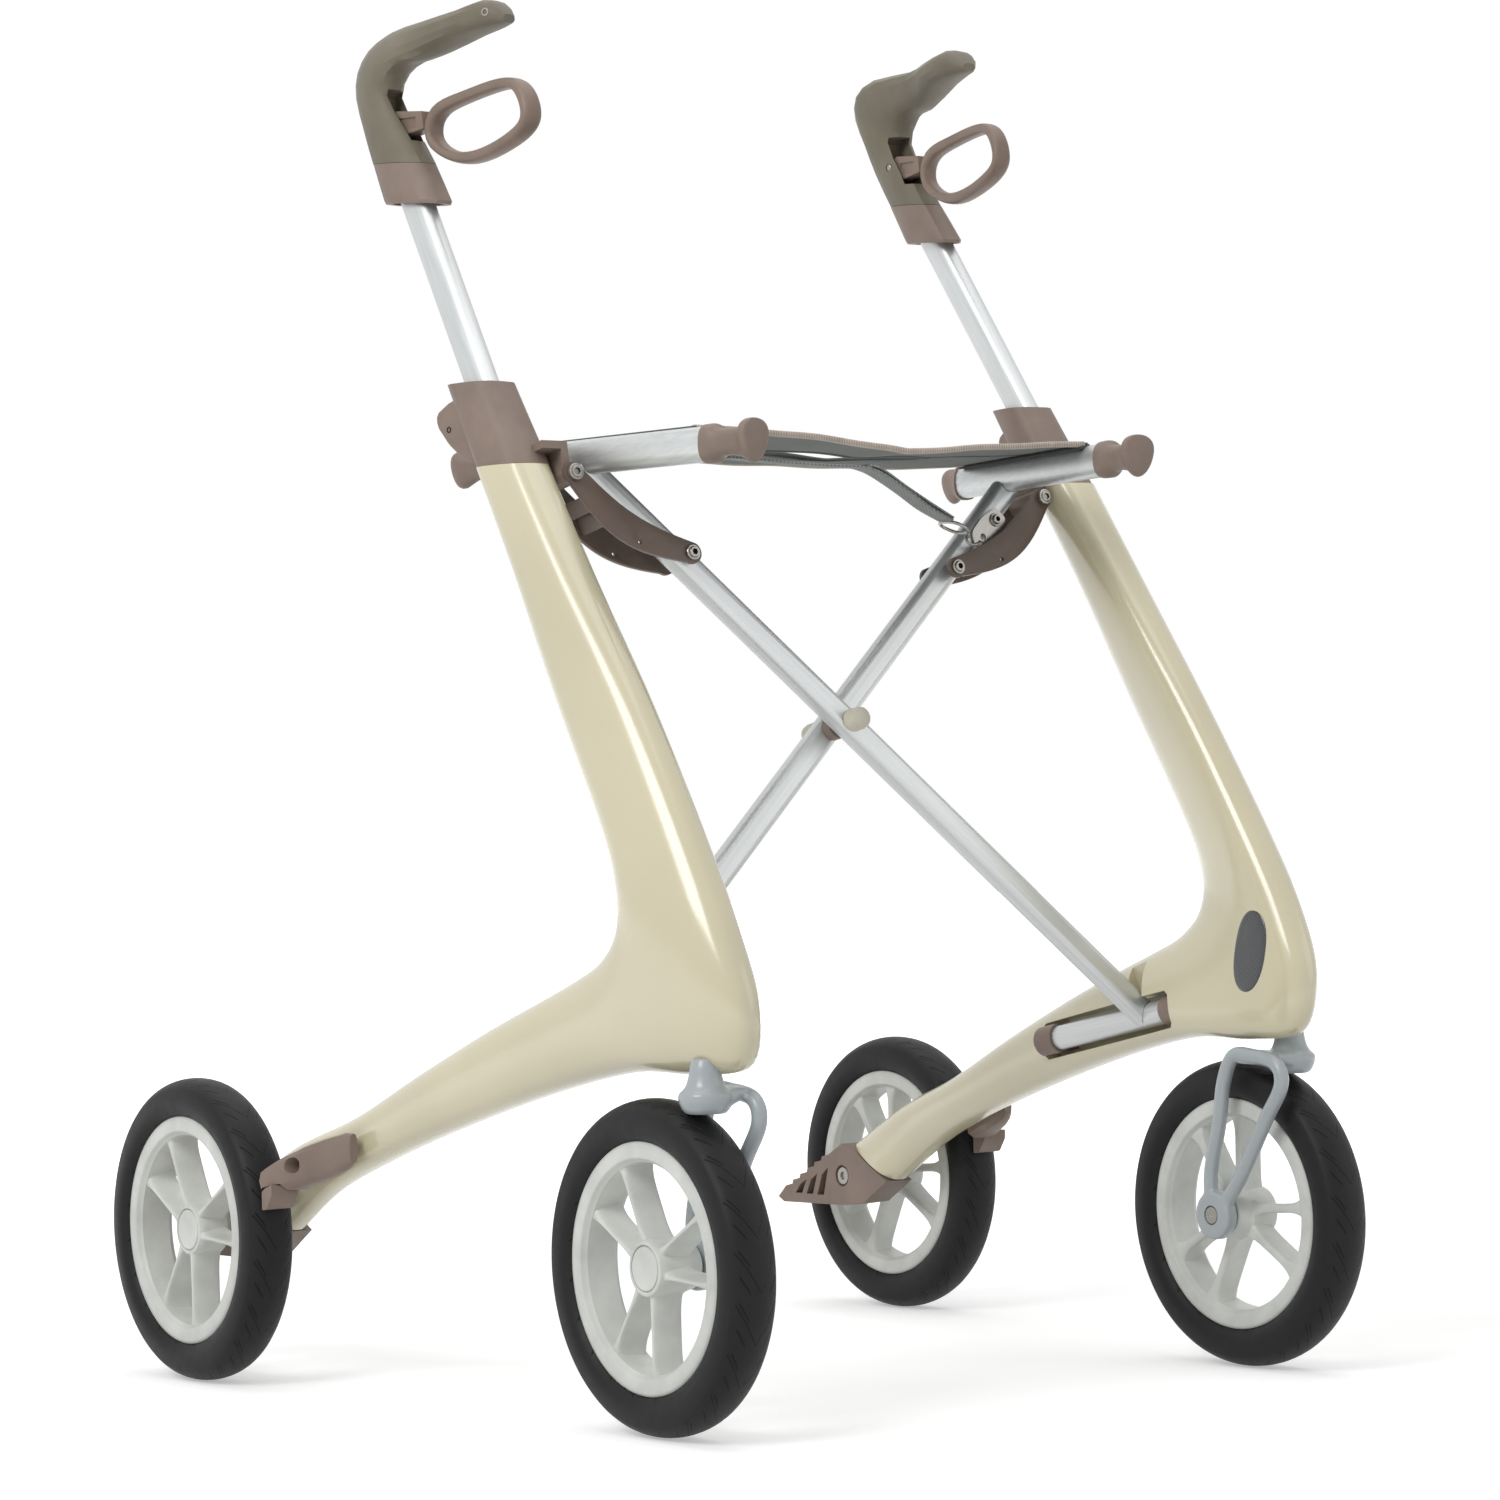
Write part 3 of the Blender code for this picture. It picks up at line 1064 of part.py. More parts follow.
def build_brake(side):
    """Brake housing on the arm and the shoe that it presses on the rear tyre."""
    sign = SIDES[side]
    rows = smooth_through(HOUSING_STATIONS, [1, 1, 1, 1, 1])
    rings = [ring((x, y, z), ACROSS, Vector((0, 0, 1)), power_oval(a, b, 12, 2.8))
             for y, x, a, z, b in rows]
    housing = add(side + "_brake_housing", loft("housing", rings, sign), "taupe", side + "_frame")
    foot = turned_helper(side + "_housing_foot", rod_profile(0.0070, 0.2655, 0.2790),
                         flip((0, 0.0900, 0.1530), sign), (sign, 0, 0), 16)
    combine(housing, foot, "UNION")
    recess = turned_helper(side + "_housing_recess", rod_profile(0.0052, 0.2865, 0.32),
                           flip((0, 0.1020, 0.1480), sign), (sign, 0, 0), 14)
    combine(housing, recess)
    x0, x1 = 0.2850, 0.3045
    shoe_outline = rounded([(0.1120, 0.1290), (0.1120, 0.1355), (0.1200, 0.1330), (0.1246, 0.1305),
                            (0.1246, 0.1185), (0.1185, 0.1195)], 0.0008, 1)

    def plan(y, z, x):
        return Vector((x, y, z))

    room = rounded([(0.1100, 0.1150), (0.1100, 0.1362), (0.1205, 0.1340), (0.1300, 0.1310),
                    (0.1300, 0.1150)], 0.0008, 1)
    shape = extrude_outline("shoe_room", room, (x0 - RUNNING, x1 + RUNNING), plan, sign)
    combine(housing, helper(side + "_shoe_room", shape))
    shoe = add(side + "_brake_shoe", extrude_outline("shoe", shoe_outline, (x0, x1), plan, sign),
               "tyre", side + "_shoe")
    return shoe


SEAT_FRONT, SEAT_REAR = -0.1690, -0.0080


def sling_height(x, y, sag):
    """Underside of a sling layer: it rests on the rails and hangs between them."""
    reach = rail_point(y).x
    share = min(abs(x) / reach, 1)
    wave = 0.0010 * math.sin(x * 46 + y * 30) * (1 - share * share)
    return RAIL_Z + RAIL_HEIGHT / 2 + GAP / 3 - sag * (1 - share * share) + wave


def sling_rings(from_share, to_share, sag, thickness, columns, rows, margin=0.0):
    """Closed sections from front to rear of a layer that spans part of the seat's width."""
    rings = []
    for j in range(rows + 1):
        y = SEAT_FRONT + margin + (SEAT_REAR - SEAT_FRONT - 2 * margin) * j / rows
        reach = rail_point(y).x
        hem = 0.0008 if j in (0, rows) else 0.0
        low = []
        for i in range(columns + 1):
            x = (from_share + (to_share - from_share) * i / columns) * reach
            low.append((x, sag(x / reach, y)))
        bottom = [Vector((x, y, z)) for x, z in low]
        top = [Vector((x, y, z + thickness + hem)) for x, z in low]
        rings.append(bottom + top[::-1])
    return rings


def build_seat():
    """Two-layer fabric sling with its sag and folds, the pull strap and its ring."""
    edge = 1 - SEAT_INSET / RAIL_AT.x

    def upper(share, y):
        return sling_height(share * rail_point(y).x, y, SEAT_SAG)

    def lower(share, y):
        rise = min(max((share + 0.90) / 0.10, 0), 1) ** 0.5
        fall = 1 - min(max((share - 0.45) / 0.30, 0), 1) ** 2
        drop = 0.0125 - 0.0030 * math.cos(2 * math.pi * (share + 0.35 + y * 0.6) / 0.70)
        return upper(share, y) + 0.0004 - drop * rise * fall

    sling = add("seat_sling", loft("sling", sling_rings(-edge, edge, upper, SEAT_THICKNESS, 14, 5)),
                "fabric", "right_strut")
    under = loft("under_layer", sling_rings(-0.90, 0.75, lower, 0.0018, 20, 5, 0.006))
    combine(sling, helper("under_layer", under), "UNION")
    half = STRAP_WIDTH / 2
    path = smooth_through([(0.0440, -0.0845, 0.5846), (0.0560, -0.0846, 0.5832), (0.0720, -0.0848, 0.5768),
                           (0.0960, -0.0853, 0.5615), (0.1090, -0.0855, 0.5545)], 2)
    flat = Vector((0.10, 0.97, 0.05)).normalized()
    rings = []
    for index, point in enumerate(path):
        here = Vector(point)
        ahead = Vector(path[min(index + 1, len(path) - 1)]) - Vector(path[max(index - 1, 0)])
        thin = ahead.cross(flat).normalized()
        rings.append(ring(here, flat, thin, power_oval(half, STRAP_THICKNESS / 2, 10, 5)))
    add("pull_strap", loft("strap", rings), "fabric", "right_strut")
    loop = []
    for k in range(RING_STEPS):
        angle = 2 * math.pi * k / RING_STEPS
        a = 0.0125 * math.copysign(abs(math.cos(angle)) ** 0.7, math.cos(angle))
        b = 0.0062 * math.copysign(abs(math.sin(angle)) ** 0.7, math.sin(angle))
        loop.append(Vector((0.1185, -0.0855, 0.5490)) + flat * a + Vector((0.93, 0, -0.36)) * b)
    wire = []
    for k, here in enumerate(loop):
        ahead = (loop[(k + 1) % RING_STEPS] - loop[k - 1]).normalized()
        out = ahead.cross(Vector((0.36, 0, 0.93))).normalized()
        wire.append(ring(here, out, ahead.cross(out), power_oval(0.0012, 0.0012, 6, 2)))
    add("strap_ring", loft("ring", wire, closed=True), "steel", "right_strut")


def build_latch():
    """Thin latch plate on the front of the strut that carries the left rail."""
    plane = STRUT_PLANE["right"] + STRUT_DEPTH / 2 + GAP
    outline = rounded([(0.1400, 0.1215), (0.1520, 0.1240), (0.1640, 0.1330), (0.1700, 0.1430),
                       (0.1620, 0.1510), (0.1490, 0.1440), (0.1380, 0.1330)], 0.003, 1)
    mesh = extrude_outline("latch", outline, (plane, plane + 0.0014), fold_point)
    return add("latch_plate", mesh, "steel", "right_strut")


for side in SIDES:
    build_side_frame(side)
    build_collar(side)
    build_bearings(side)
    build_lower_tube(side)
    build_strut(side)
    build_rail(side)
    build_link(side)
    build_handle(side)
    build_lever(side)
    build_pedal(side)
    build_brake(side)
    build_fork(side)
    build_wheel(side, "front", FRONT_WHEEL)
    build_wheel(side, "rear", REAR_WHEEL)
build_cross_pivot()
build_seat()
build_latch()

bpy.context.view_layer.update()
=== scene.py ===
"""Folding rollator in a pale studio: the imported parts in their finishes, finer pieces over some of them."""
import math

import bmesh
import bpy
import numpy as np
from mathutils import Matrix, Vector
from mathutils.bvhtree import BVHTree


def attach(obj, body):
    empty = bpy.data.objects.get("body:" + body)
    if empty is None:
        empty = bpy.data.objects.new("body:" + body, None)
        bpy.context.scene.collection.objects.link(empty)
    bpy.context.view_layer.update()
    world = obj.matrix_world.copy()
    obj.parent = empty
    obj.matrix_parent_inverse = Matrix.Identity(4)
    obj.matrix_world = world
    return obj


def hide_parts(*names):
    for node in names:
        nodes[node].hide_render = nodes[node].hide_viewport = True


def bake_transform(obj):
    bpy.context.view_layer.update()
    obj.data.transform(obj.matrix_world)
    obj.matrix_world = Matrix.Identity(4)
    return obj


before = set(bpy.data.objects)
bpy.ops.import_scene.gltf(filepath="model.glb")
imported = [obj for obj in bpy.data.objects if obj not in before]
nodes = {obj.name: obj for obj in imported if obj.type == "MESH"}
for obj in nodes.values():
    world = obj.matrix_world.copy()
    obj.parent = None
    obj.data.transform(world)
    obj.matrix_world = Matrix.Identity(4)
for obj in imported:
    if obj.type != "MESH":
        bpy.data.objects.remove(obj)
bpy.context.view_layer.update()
scene = bpy.context.scene
SIDES = {"right": -1, "left": 1}
OTHER = {"right": "left", "left": "right"}

# Colours as seen in the photograph, in sRGB
CREAM = (212, 204, 173)
OLIVE = (112, 105, 89)
TAUPE = (134, 118, 108)
LINK_TAUPE = (106, 91, 82)
LEVER = (132, 115, 103)
SILVER = (205, 208, 208)
FORK = (168, 176, 179)
RIM = (212, 214, 209)
TYRE = (24, 24, 25)
CLOTH_TOP = (168, 155, 144)
CLOTH_UNDER = (104, 109, 106)
WEBBING = (139, 144, 141)
# The front and rear hems are the seat cloth's colour made lighter: a painted highlight on the fold.
HEM = (188, 174, 162)
# The slot's lips are the under cloth's colour made darker: painted shade in the slot.
SHADED_SLOT_HEM = (84, 88, 86)
BINDING = (70, 70, 69)
STEEL = (158, 155, 149)

# The folding cross: its plane leans back, and every place in it is (across, up, along the fold axis)
TILT = math.radians(10.55)
ACROSS, UP = Vector((1, 0, 0)), Vector((0, 0, 1))
FOLD_AXIS = Vector((0, -math.cos(TILT), math.sin(TILT)))
FOLD_UP = Vector((0, math.sin(TILT), math.cos(TILT)))
CROSS_PIVOT = Vector((0, -0.0975, 0.4221))
PIVOT_SPAN, PIVOT_DROP = 0.2175, 0.2010
SLOPE = math.atan2(PIVOT_DROP, PIVOT_SPAN)
STRUT_OFFSET = 0.0110
STRUT_THICK, STRUT_WIDE = 0.0143, 0.0176
LINK_TOP = Vector((0.1980, 0.1565))
LINK_FOOT = Vector((math.cos(SLOPE), math.sin(SLOPE))) * 0.1574
LINK_INNER, LINK_OUTER = 0.0135, 0.0165
CLEARANCE = 0.0006

# Seat rails and the cloth between them
RAIL_YAW = math.radians(9.8)
RAIL_HEIGHT = 0.5925
RAIL_HALF_WIDE, RAIL_HALF_HIGH = 0.0086, 0.0111
RAIL_TOP = RAIL_HEIGHT + RAIL_HALF_HIGH
SEAT_FRONT, SEAT_REAR = -0.1690, -0.0080
SLOT_RIGHT, SLOT_LEFT, SLOT_Y = -0.054, 0.078, -0.093
SEAT = "seat"

# Axle places of the left wheels, and the caster stem
WHEELS = {"front": Vector((0.2335, -0.2226, 0.100)), "rear": Vector((0.2943, 0.2243, 0.100))}
FORK_X = 0.2063
STEM_X, STEM_Y = 0.2313, -0.269


def linear(rgb):
    """Scene colour from an sRGB one."""
    return tuple(c / 12.92 if c <= 0.04045 else ((c + 0.055) / 1.055) ** 2.4
                 for c in (v / 255 for v in rgb)) + (1.0,)


def tint(rgb, share):
    return tuple(min(255, max(0, v * share)) for v in rgb)


class Graph:
    """Short-hand for building one node tree."""

    def __init__(self, tree):
        self.tree = tree

    def new(self, kind, **values):
        node = self.tree.nodes.new(kind)
        for key, value in values.items():
            setattr(node, key, value)
        return node

    def link(self, source, target):
        self.tree.links.new(source, target)

    def math(self, operation, a, b=None):
        node = self.new("ShaderNodeMath", operation=operation)
        for socket, value in zip(node.inputs, (a, b)):
            if isinstance(value, (int, float)):
                socket.default_value = value
            elif value is not None:
                self.link(value, socket)
        return node.outputs[0]

    def spread(self, value, low, high, from_low=0.0, from_high=1.0):
        node = self.new("ShaderNodeMapRange")
        self.link(value, node.inputs["Value"])
        limits = {"From Min": from_low, "From Max": from_high, "To Min": low, "To Max": high}
        for key, number in limits.items():
            node.inputs[key].default_value = number
        return node.outputs[0]


class Shade(Graph):
    """Short-hand for building one node material."""

    def __init__(self, name):
        self.material = bpy.data.materials.new(name)
        self.material.use_nodes = True
        super().__init__(self.material.node_tree)
        self.shader = self.tree.nodes["Principled BSDF"]
        self.coords = self.new("ShaderNodeTexCoord").outputs["Object"]

    def parts(self):
        """X, Y and Z of the piece's own coordinates."""
        split = self.new("ShaderNodeSeparateXYZ")
        self.link(self.coords, split.inputs[0])
        return split.outputs

    def texture(self, node, result, source=None, **inputs):
        """Output of a node that reads the piece's own coordinates or another source."""
        for key, value in inputs.items():
            node.inputs[key].default_value = value
        self.link(source or self.coords, node.inputs["Vector"])
        return node.outputs[result]

    def noise(self, scale, detail=3.0, source=None):
        return self.texture(self.new("ShaderNodeTexNoise"), "Fac", source, Scale=scale, Detail=detail)

    def cells(self, scale):
        return self.texture(self.new("ShaderNodeTexVoronoi"), "Distance", Scale=scale)

    def waves(self, scale, direction):
        node = self.new("ShaderNodeTexWave", bands_direction=direction)
        return self.texture(node, "Fac", Scale=scale, Distortion=0.4)

    def crests(self, phase, low, high):
        """Runs from 0 to 1 as the sine of the phase goes from low to high."""
        return self.spread(self.math("SINE", phase), 0.0, 1.0, low, high)

    def colour(self, fac, first, second, low=0.3, high=0.7):
        """Colour that runs from the first to the second as fac goes from low to high."""
        ramp = self.new("ShaderNodeValToRGB")
        for element, position, rgb in zip(ramp.color_ramp.elements, (low, high), (first, second)):
            element.position = position
            element.color = linear(rgb)
        self.link(fac, ramp.inputs["Fac"])
        self.link(ramp.outputs["Color"], self.shader.inputs["Base Color"])

    def rough(self, fac, low, high):
        self.link(self.spread(fac, low, high), self.shader.inputs["Roughness"])

    def bump(self, height, strength, distance):
        node = self.new("ShaderNodeBump")
        node.inputs["Strength"].default_value = strength
        node.inputs["Distance"].default_value = distance
        self.link(height, node.inputs["Height"])
        last = self.shader.inputs["Normal"]
        if last.is_linked:
            self.link(last.links[0].from_socket, node.inputs["Normal"])
        self.link(node.outputs["Normal"], last)

    def finished(self, **values):
        for key, value in values.items():
            self.shader.inputs[key.replace("_", " ")].default_value = value
        return self.material


def painted(name, rgb, coat, rough, flake=False):
    """Lacquer over a smooth moulding: faint unevenness under a clear coat."""
    s = Shade(name)
    s.colour(s.noise(9, 2), tint(rgb, 0.975), tint(rgb, 1.015))
    s.rough(s.noise(60, 4), rough - 0.03, rough + 0.05)
    s.bump(s.noise(420, 3), 0.10, 0.0002)
    if flake:
        s.bump(s.cells(2600), 0.06, 0.0001)
    return s.finished(Coat_Weight=coat, Coat_Roughness=0.16)


def moulded(name, rgb, rough=0.48, grain=1500, depth=0.16):
    """Spark-eroded plastic: fine grain and slight mottling."""
    s = Shade(name)
    s.colour(s.noise(35, 4), tint(rgb, 0.94), tint(rgb, 1.05))
    s.rough(s.noise(220, 3), rough - 0.05, rough + 0.08)
    s.bump(s.noise(grain, 2), depth, 0.0003)
    return s.finished(Specular_IOR_Level=0.35)


def rubber(name, rgb):
    """Soft stippled grip with a dull sheen."""
    s = Shade(name)
    s.colour(s.noise(28, 4), tint(rgb, 0.92), tint(rgb, 1.06))
    s.rough(s.noise(90, 3), 0.50, 0.66)
    s.bump(s.cells(1300), 0.20, 0.0004)
    return s.finished(Sheen_Weight=0.10, Sheen_Roughness=0.5)


def brushed(name, rgb, axis, rough=0.42):
    """Drawn or brushed metal: hair lines along the axis, patches of gloss."""
    s = Shade(name)
    turned = s.texture(s.new("ShaderNodeVectorRotate", rotation_type="EULER_XYZ", invert=True), "Vector",
                       Rotation=UP.rotation_difference(Vector(axis)).to_euler())
    lines = s.noise(1.0, 3, s.texture(s.new("ShaderNodeMapping"), "Vector", turned, Scale=(520, 520, 9)))
    s.colour(lines, tint(rgb, 0.965), tint(rgb, 1.02))
    s.rough(s.math("ADD", s.math("MULTIPLY", lines, 0.5), s.math("MULTIPLY", s.noise(40, 3), 0.5)),
            rough - 0.05, rough + 0.09)
    s.bump(lines, 0.010, 0.0002)
    return s.finished(Metallic=0.75)


def tyre_rubber(name):
    """Black tread rubber with short slanted cuts, painted darker as their shade, and plain satin side walls;
    the axle lies along X.
    """
    s = Shade(name)
    x, y, z = s.parts()
    out = s.math("ABSOLUTE", x)
    slanted = s.math("ADD", s.math("ARCTAN2", z, y), s.math("MULTIPLY", out, 17.0))
    phase = s.math("MULTIPLY", slanted, 40.0)
    line = s.crests(phase, 0.88, 0.985)
    long_line = s.crests(s.math("MULTIPLY", phase, 0.5), 0.985, 0.9985)
    shoulder = s.math("MULTIPLY", s.spread(out, 0.0, 1.0, 0.0062, 0.0072),
                      s.spread(out, 1.0, 0.0, 0.0118, 0.0128))
    groove = s.math("MAXIMUM", s.math("MULTIPLY", line, shoulder),
                    s.math("MULTIPLY", long_line, s.spread(out, 1.0, 0.0, 0.0135, 0.0145)))
    # Painted shade: the cuts run from the rubber's colour down to about a third of it, with some random tone
    # mixed in.
    s.colour(s.math("ADD", s.math("MULTIPLY", groove, 0.8), s.math("MULTIPLY", s.noise(60, 4), 0.2)),
             tint(TYRE, 1.08), tint(TYRE, 0.30), 0.05, 0.9)
    s.rough(s.noise(120, 3), 0.42, 0.58)
    s.bump(s.math("SUBTRACT", 1.0, groove), 0.8, 0.0012)
    s.bump(s.noise(1500, 2), 0.08, 0.0003)
    return s.finished(Specular_IOR_Level=0.22)


def woven(name, rgb, pitch, sheen=0.25):
    """Plain weave: warp over weft in turn, with uneven yarns."""
    s = Shade(name)
    drift = s.noise(180, 2)
    warp, weft = (s.math("SUBTRACT", s.waves(0.16 / pitch, way), 0.5) for way in "XY")
    height = s.spread(s.math("MULTIPLY", warp, weft), 0.0, 1.0, -0.25, 0.25)
    mixed = s.math("ADD", s.math("MULTIPLY", height, 0.6), s.math("MULTIPLY", drift, 0.4))
    s.colour(mixed, tint(rgb, 0.80), tint(rgb, 1.10), 0.25, 0.75)
    s.rough(drift, 0.78, 0.95)
    s.bump(height, 0.5, 0.0004)
    s.bump(s.noise(900, 2), 0.15, 0.0003)
    return s.finished(Sheen_Weight=sheen, Sheen_Roughness=0.6)


def twill(name):
    """Dark twill under clear lacquer: slanted ribs whose light and dark threads take turns."""
    s = Shade(name)
    _, y, z = s.parts()
    rib = s.crests(s.math("MULTIPLY", s.math("ADD", y, z), 3100.0), -0.3, 0.3)
    thread = s.crests(s.math("MULTIPLY", s.math("SUBTRACT", y, z), 1900.0), -0.4, 0.4)
    mixed = s.math("ADD", s.math("MULTIPLY", rib, 0.7), s.math("MULTIPLY", thread, 0.3))
    s.colour(mixed, (26, 27, 29), (72, 74, 77), 0.1, 0.9)
    s.rough(mixed, 0.28, 0.45)
    s.bump(rib, 0.15, 0.0002)
    return s.finished(Coat_Weight=0.6, Coat_Roughness=0.1)


def fold_point(u, v, t=0.0):
    """World point from its place in the fold plane of the cross pivot."""
    return CROSS_PIVOT + u * ACROSS + v * FOLD_UP + t * FOLD_AXIS


def strut_axis(sign):
    return (ACROSS * math.cos(SLOPE) * sign + FOLD_UP * math.sin(SLOPE)).normalized()


cream = painted("cream_lacquer", CREAM, 0.7, 0.20)
fork_paint = painted("fork_lacquer", FORK, 0.35, 0.34, flake=True)
rim_plastic = moulded("rim_plastic", RIM, 0.36, 1100, 0.08)
taupe = moulded("taupe_plastic", TAUPE)
lever_plastic = moulded("lever_plastic", LEVER, 0.42)
pale_plastic = moulded("pale_plastic", (208, 203, 186), 0.4, 1100, 0.08)
# Near-black painted shade for the insides of holes: the bolts' sockets, the sinks of the trim rings and the
# lock's hole.
dark = moulded("painted_hole_shade", (34, 32, 31), 0.7)
link_plastic = moulded("link_plastic", LINK_TAUPE, 0.42, 1500, 0.12)
grip_rubber = rubber("grip_rubber", OLIVE)
tread = tyre_rubber("tread_rubber")
silver_up = brushed("silver_upright", SILVER, (0, 0.55, 0.83))
silver_depth = brushed("silver_depth", SILVER, FOLD_AXIS)
silver_rising = {side: brushed(side + "_silver_strut", SILVER, strut_axis(-sign))
                 for side, sign in SIDES.items()}
steel = brushed("bolt_steel", STEEL, (1, 0, 0), 0.26)
plate_steel = brushed("plate_steel", STEEL, (0.5, 0, 0.8), 0.22)
cloth = woven("seat_weave", CLOTH_TOP, 0.0011)
webbing = woven("strap_webbing", WEBBING, 0.0016, 0.15)

LOOKS = {
    "side_frame": cream, "handle_tube": silver_up, "handle_grip": grip_rubber, "brake_lever": lever_plastic,
    "lever_pin": steel, "link_bolt": steel, "axle": steel, "cross_pivot_pin": steel, "strap_ring": steel,
    "caster_fork": fork_paint, "rim": rim_plastic, "tyre": tread, "fold_link": link_plastic,
    "right_cross_strut": silver_rising["right"], "left_cross_strut": silver_rising["left"],
    "lower_tube": silver_depth, "seat_rail": silver_depth, "pivot_cap": pale_plastic,
    "latch_plate": plate_steel, "seat_sling": cloth, "pull_strap": webbing,
}


def finish_of(name):
    """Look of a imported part; the housings, caps, bearings, shoes and pedals are all taupe."""
    return next((look for key, look in LOOKS.items() if key in name), taupe)


def smoothing():
    """Modifier group that rounds the shading of shallow edges and leaves the sharp ones."""
    group = bpy.data.node_groups.new("smooth_shallow_edges", "GeometryNodeTree")
    for way in ("INPUT", "OUTPUT"):
        group.interface.new_socket("Geometry", in_out=way, socket_type="NodeSocketGeometry")
    start, end, merge, angle, compare, faces, edges = (group.nodes.new(kind) for kind in (
        "NodeGroupInput", "NodeGroupOutput", "GeometryNodeMergeByDistance",
        "GeometryNodeInputMeshEdgeAngle", "FunctionNodeCompare", "GeometryNodeSetShadeSmooth",
        "GeometryNodeSetShadeSmooth"))
    merge.inputs["Distance"].default_value = 0.00001
    compare.operation = "LESS_EQUAL"
    compare.inputs[1].default_value = math.radians(33)
    edges.domain = "EDGE"
    for source, target in ((start.outputs[0], merge.inputs["Geometry"]),
                           (merge.outputs[0], faces.inputs["Geometry"]),
                           (faces.outputs[0], edges.inputs["Geometry"]),
                           (angle.outputs["Unsigned Angle"], compare.inputs[0]),
                           (compare.outputs[0], edges.inputs["Shade Smooth"]),
                           (edges.outputs[0], end.inputs[0])):
        group.links.new(source, target)
    return group


smooth_group = smoothing()
for name, node in nodes.items():
    node.data.materials.clear()
    node.data.materials.append(finish_of(name))
    node.modifiers.new("smooth shallow edges", "NODES").node_group = smooth_group


def mesh_object(name, bm):
    bmesh.ops.recalc_face_normals(bm, faces=bm.faces)
    mesh = bpy.data.meshes.new(name)
    bm.to_mesh(mesh)
    bm.free()
    made = bpy.data.objects.new(name, mesh)
    scene.collection.objects.link(made)
    return made


def dressed(piece, look, body, sharp, instead_of=None):
    """Gives a new piece its look, its sharp edges above an angle and its body, or for the seat bakes its
    place into its mesh; hides the imported part it stands for.
    """
    piece.data.materials.clear()
    piece.data.materials.append(look)
    piece.data.shade_smooth()
    if sharp:
        piece.data.set_sharp_from_angle(angle=math.radians(sharp))
    if body == SEAT:
        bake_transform(piece)
    else:
        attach(piece, body)
    if instead_of:
        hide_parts(instead_of)
    return piece


def smooth_through(keys, steps):
    """Catmull-Rom values through rows of numbers, with a number of steps in each gap."""
    rows = []
    for i in range(len(keys) - 1):
        before, after = keys[max(i - 1, 0)], keys[min(i + 2, len(keys) - 1)]
        for k in range(steps):
            x = k / steps
            rows.append([0.5 * (2 * b + (c - a) * x + (2 * a - 5 * b + 4 * c - d) * x * x
                                + (3 * b - a - 3 * c + d) * x ** 3)
                         for a, b, c, d in zip(before, keys[i], keys[i + 1], after)])
    rows.append(list(keys[-1]))
    return rows


def even_turns(count):
    """Cosine and sine at even steps round a circle."""
    angles = [2 * math.pi * k / count for k in range(count)]
    return [(math.cos(a), math.sin(a)) for a in angles]


def oval(half_a, half_b, count, power):
    """Points of a rounded box section."""
    return [(half_a * math.copysign(abs(c) ** (2 / power), c),
             half_b * math.copysign(abs(s) ** (2 / power), s)) for c, s in even_turns(count)]


def circle(centre, wide, thin, radius, sides):
    return [centre + wide * radius * c + thin * radius * s for c, s in even_turns(sides)]


def section(centre, wide, high, half_wide, half_high, count, power):
    """Rounded box section round a centre."""
    return [centre + wide * a + high * b for a, b in oval(half_wide, half_high, count, power)]


def loft(bm, rings, closed=False, foot=True):
    """Skin over rings of points, capped at both ends unless it closes on itself or its foot stays open."""
    layers = [[bm.verts.new(p) for p in ring] for ring in rings]
    following = layers[1:] + (layers[:1] if closed else [])
    count = len(layers[0])
    for lower, upper in zip(layers, following):
        for i in range(count):
            j = (i + 1) % count
            bm.faces.new((lower[i], lower[j], upper[j], upper[i]))
    if not closed:
        if foot:
            bm.faces.new(layers[0][::-1])
        bm.faces.new(layers[-1])


def lofted(name, rings, closed=False):
    bm = bmesh.new()
    loft(bm, rings, closed)
    return mesh_object(name, bm)


def flipped(rings, sign):
    return [[Vector((p[0] * sign, p[1], p[2])) for p in ring] for ring in rings]


def prism(name, outline, low, high, place, sign=1):
    return lofted(name, flipped([[place(a, b, c) for a, b in outline] for c in (low, high)], sign))


def headings(points, closed=False):
    """Unit direction of a path at each of its points."""
    last = len(points) - 1
    if closed:
        return [(points[(i + 1) % (last + 1)] - points[i - 1]).normalized() for i in range(last + 1)]
    return [(points[min(i + 1, last)] - points[max(i - 1, 0)]).normalized() for i in range(last + 1)]


def tube_rings(points, radius, sides=16):
    rings = []
    for here, ahead in zip(points, headings(points)):
        wide = (ACROSS - ahead * ACROSS.dot(ahead)).normalized()
        rings.append(circle(here, wide, ahead.cross(wide), radius, sides))
    return rings


def turned_rings(profile, centre, axis, sides=40):
    """Rings of a turned piece: (radius, height) rows about an axis."""
    axis = Vector(axis).normalized()
    wide = axis.orthogonal().normalized()
    thin = axis.cross(wide)
    return [circle(Vector(centre) + axis * h, wide, thin, max(r, 1e-5), sides) for r, h in profile]


def drill(radius, low, high, place, axis, sides, sign=1):
    """Round cutter from low to high along an axis."""
    return lofted("drill", flipped(turned_rings([(radius, low), (radius, high)], place, axis, sides), sign))


def settled(piece, helpers=()):
    """Bakes a new piece's own modifiers into its mesh and clears its helpers."""
    graph = bpy.context.evaluated_depsgraph_get()
    made = bpy.data.meshes.new_from_object(piece.evaluated_get(graph))
    old = piece.data
    piece.modifiers.clear()
    piece.data = made
    bpy.data.meshes.remove(old)
    for helper in helpers:
        mesh = helper.data
        bpy.data.objects.remove(helper)
        bpy.data.meshes.remove(mesh)


def worked(piece, kind, **values):
    """Adds a modifier with its settings to a piece."""
    step = piece.modifiers.new(kind.lower(), kind)
    for key, value in values.items():
        setattr(step, key, value)


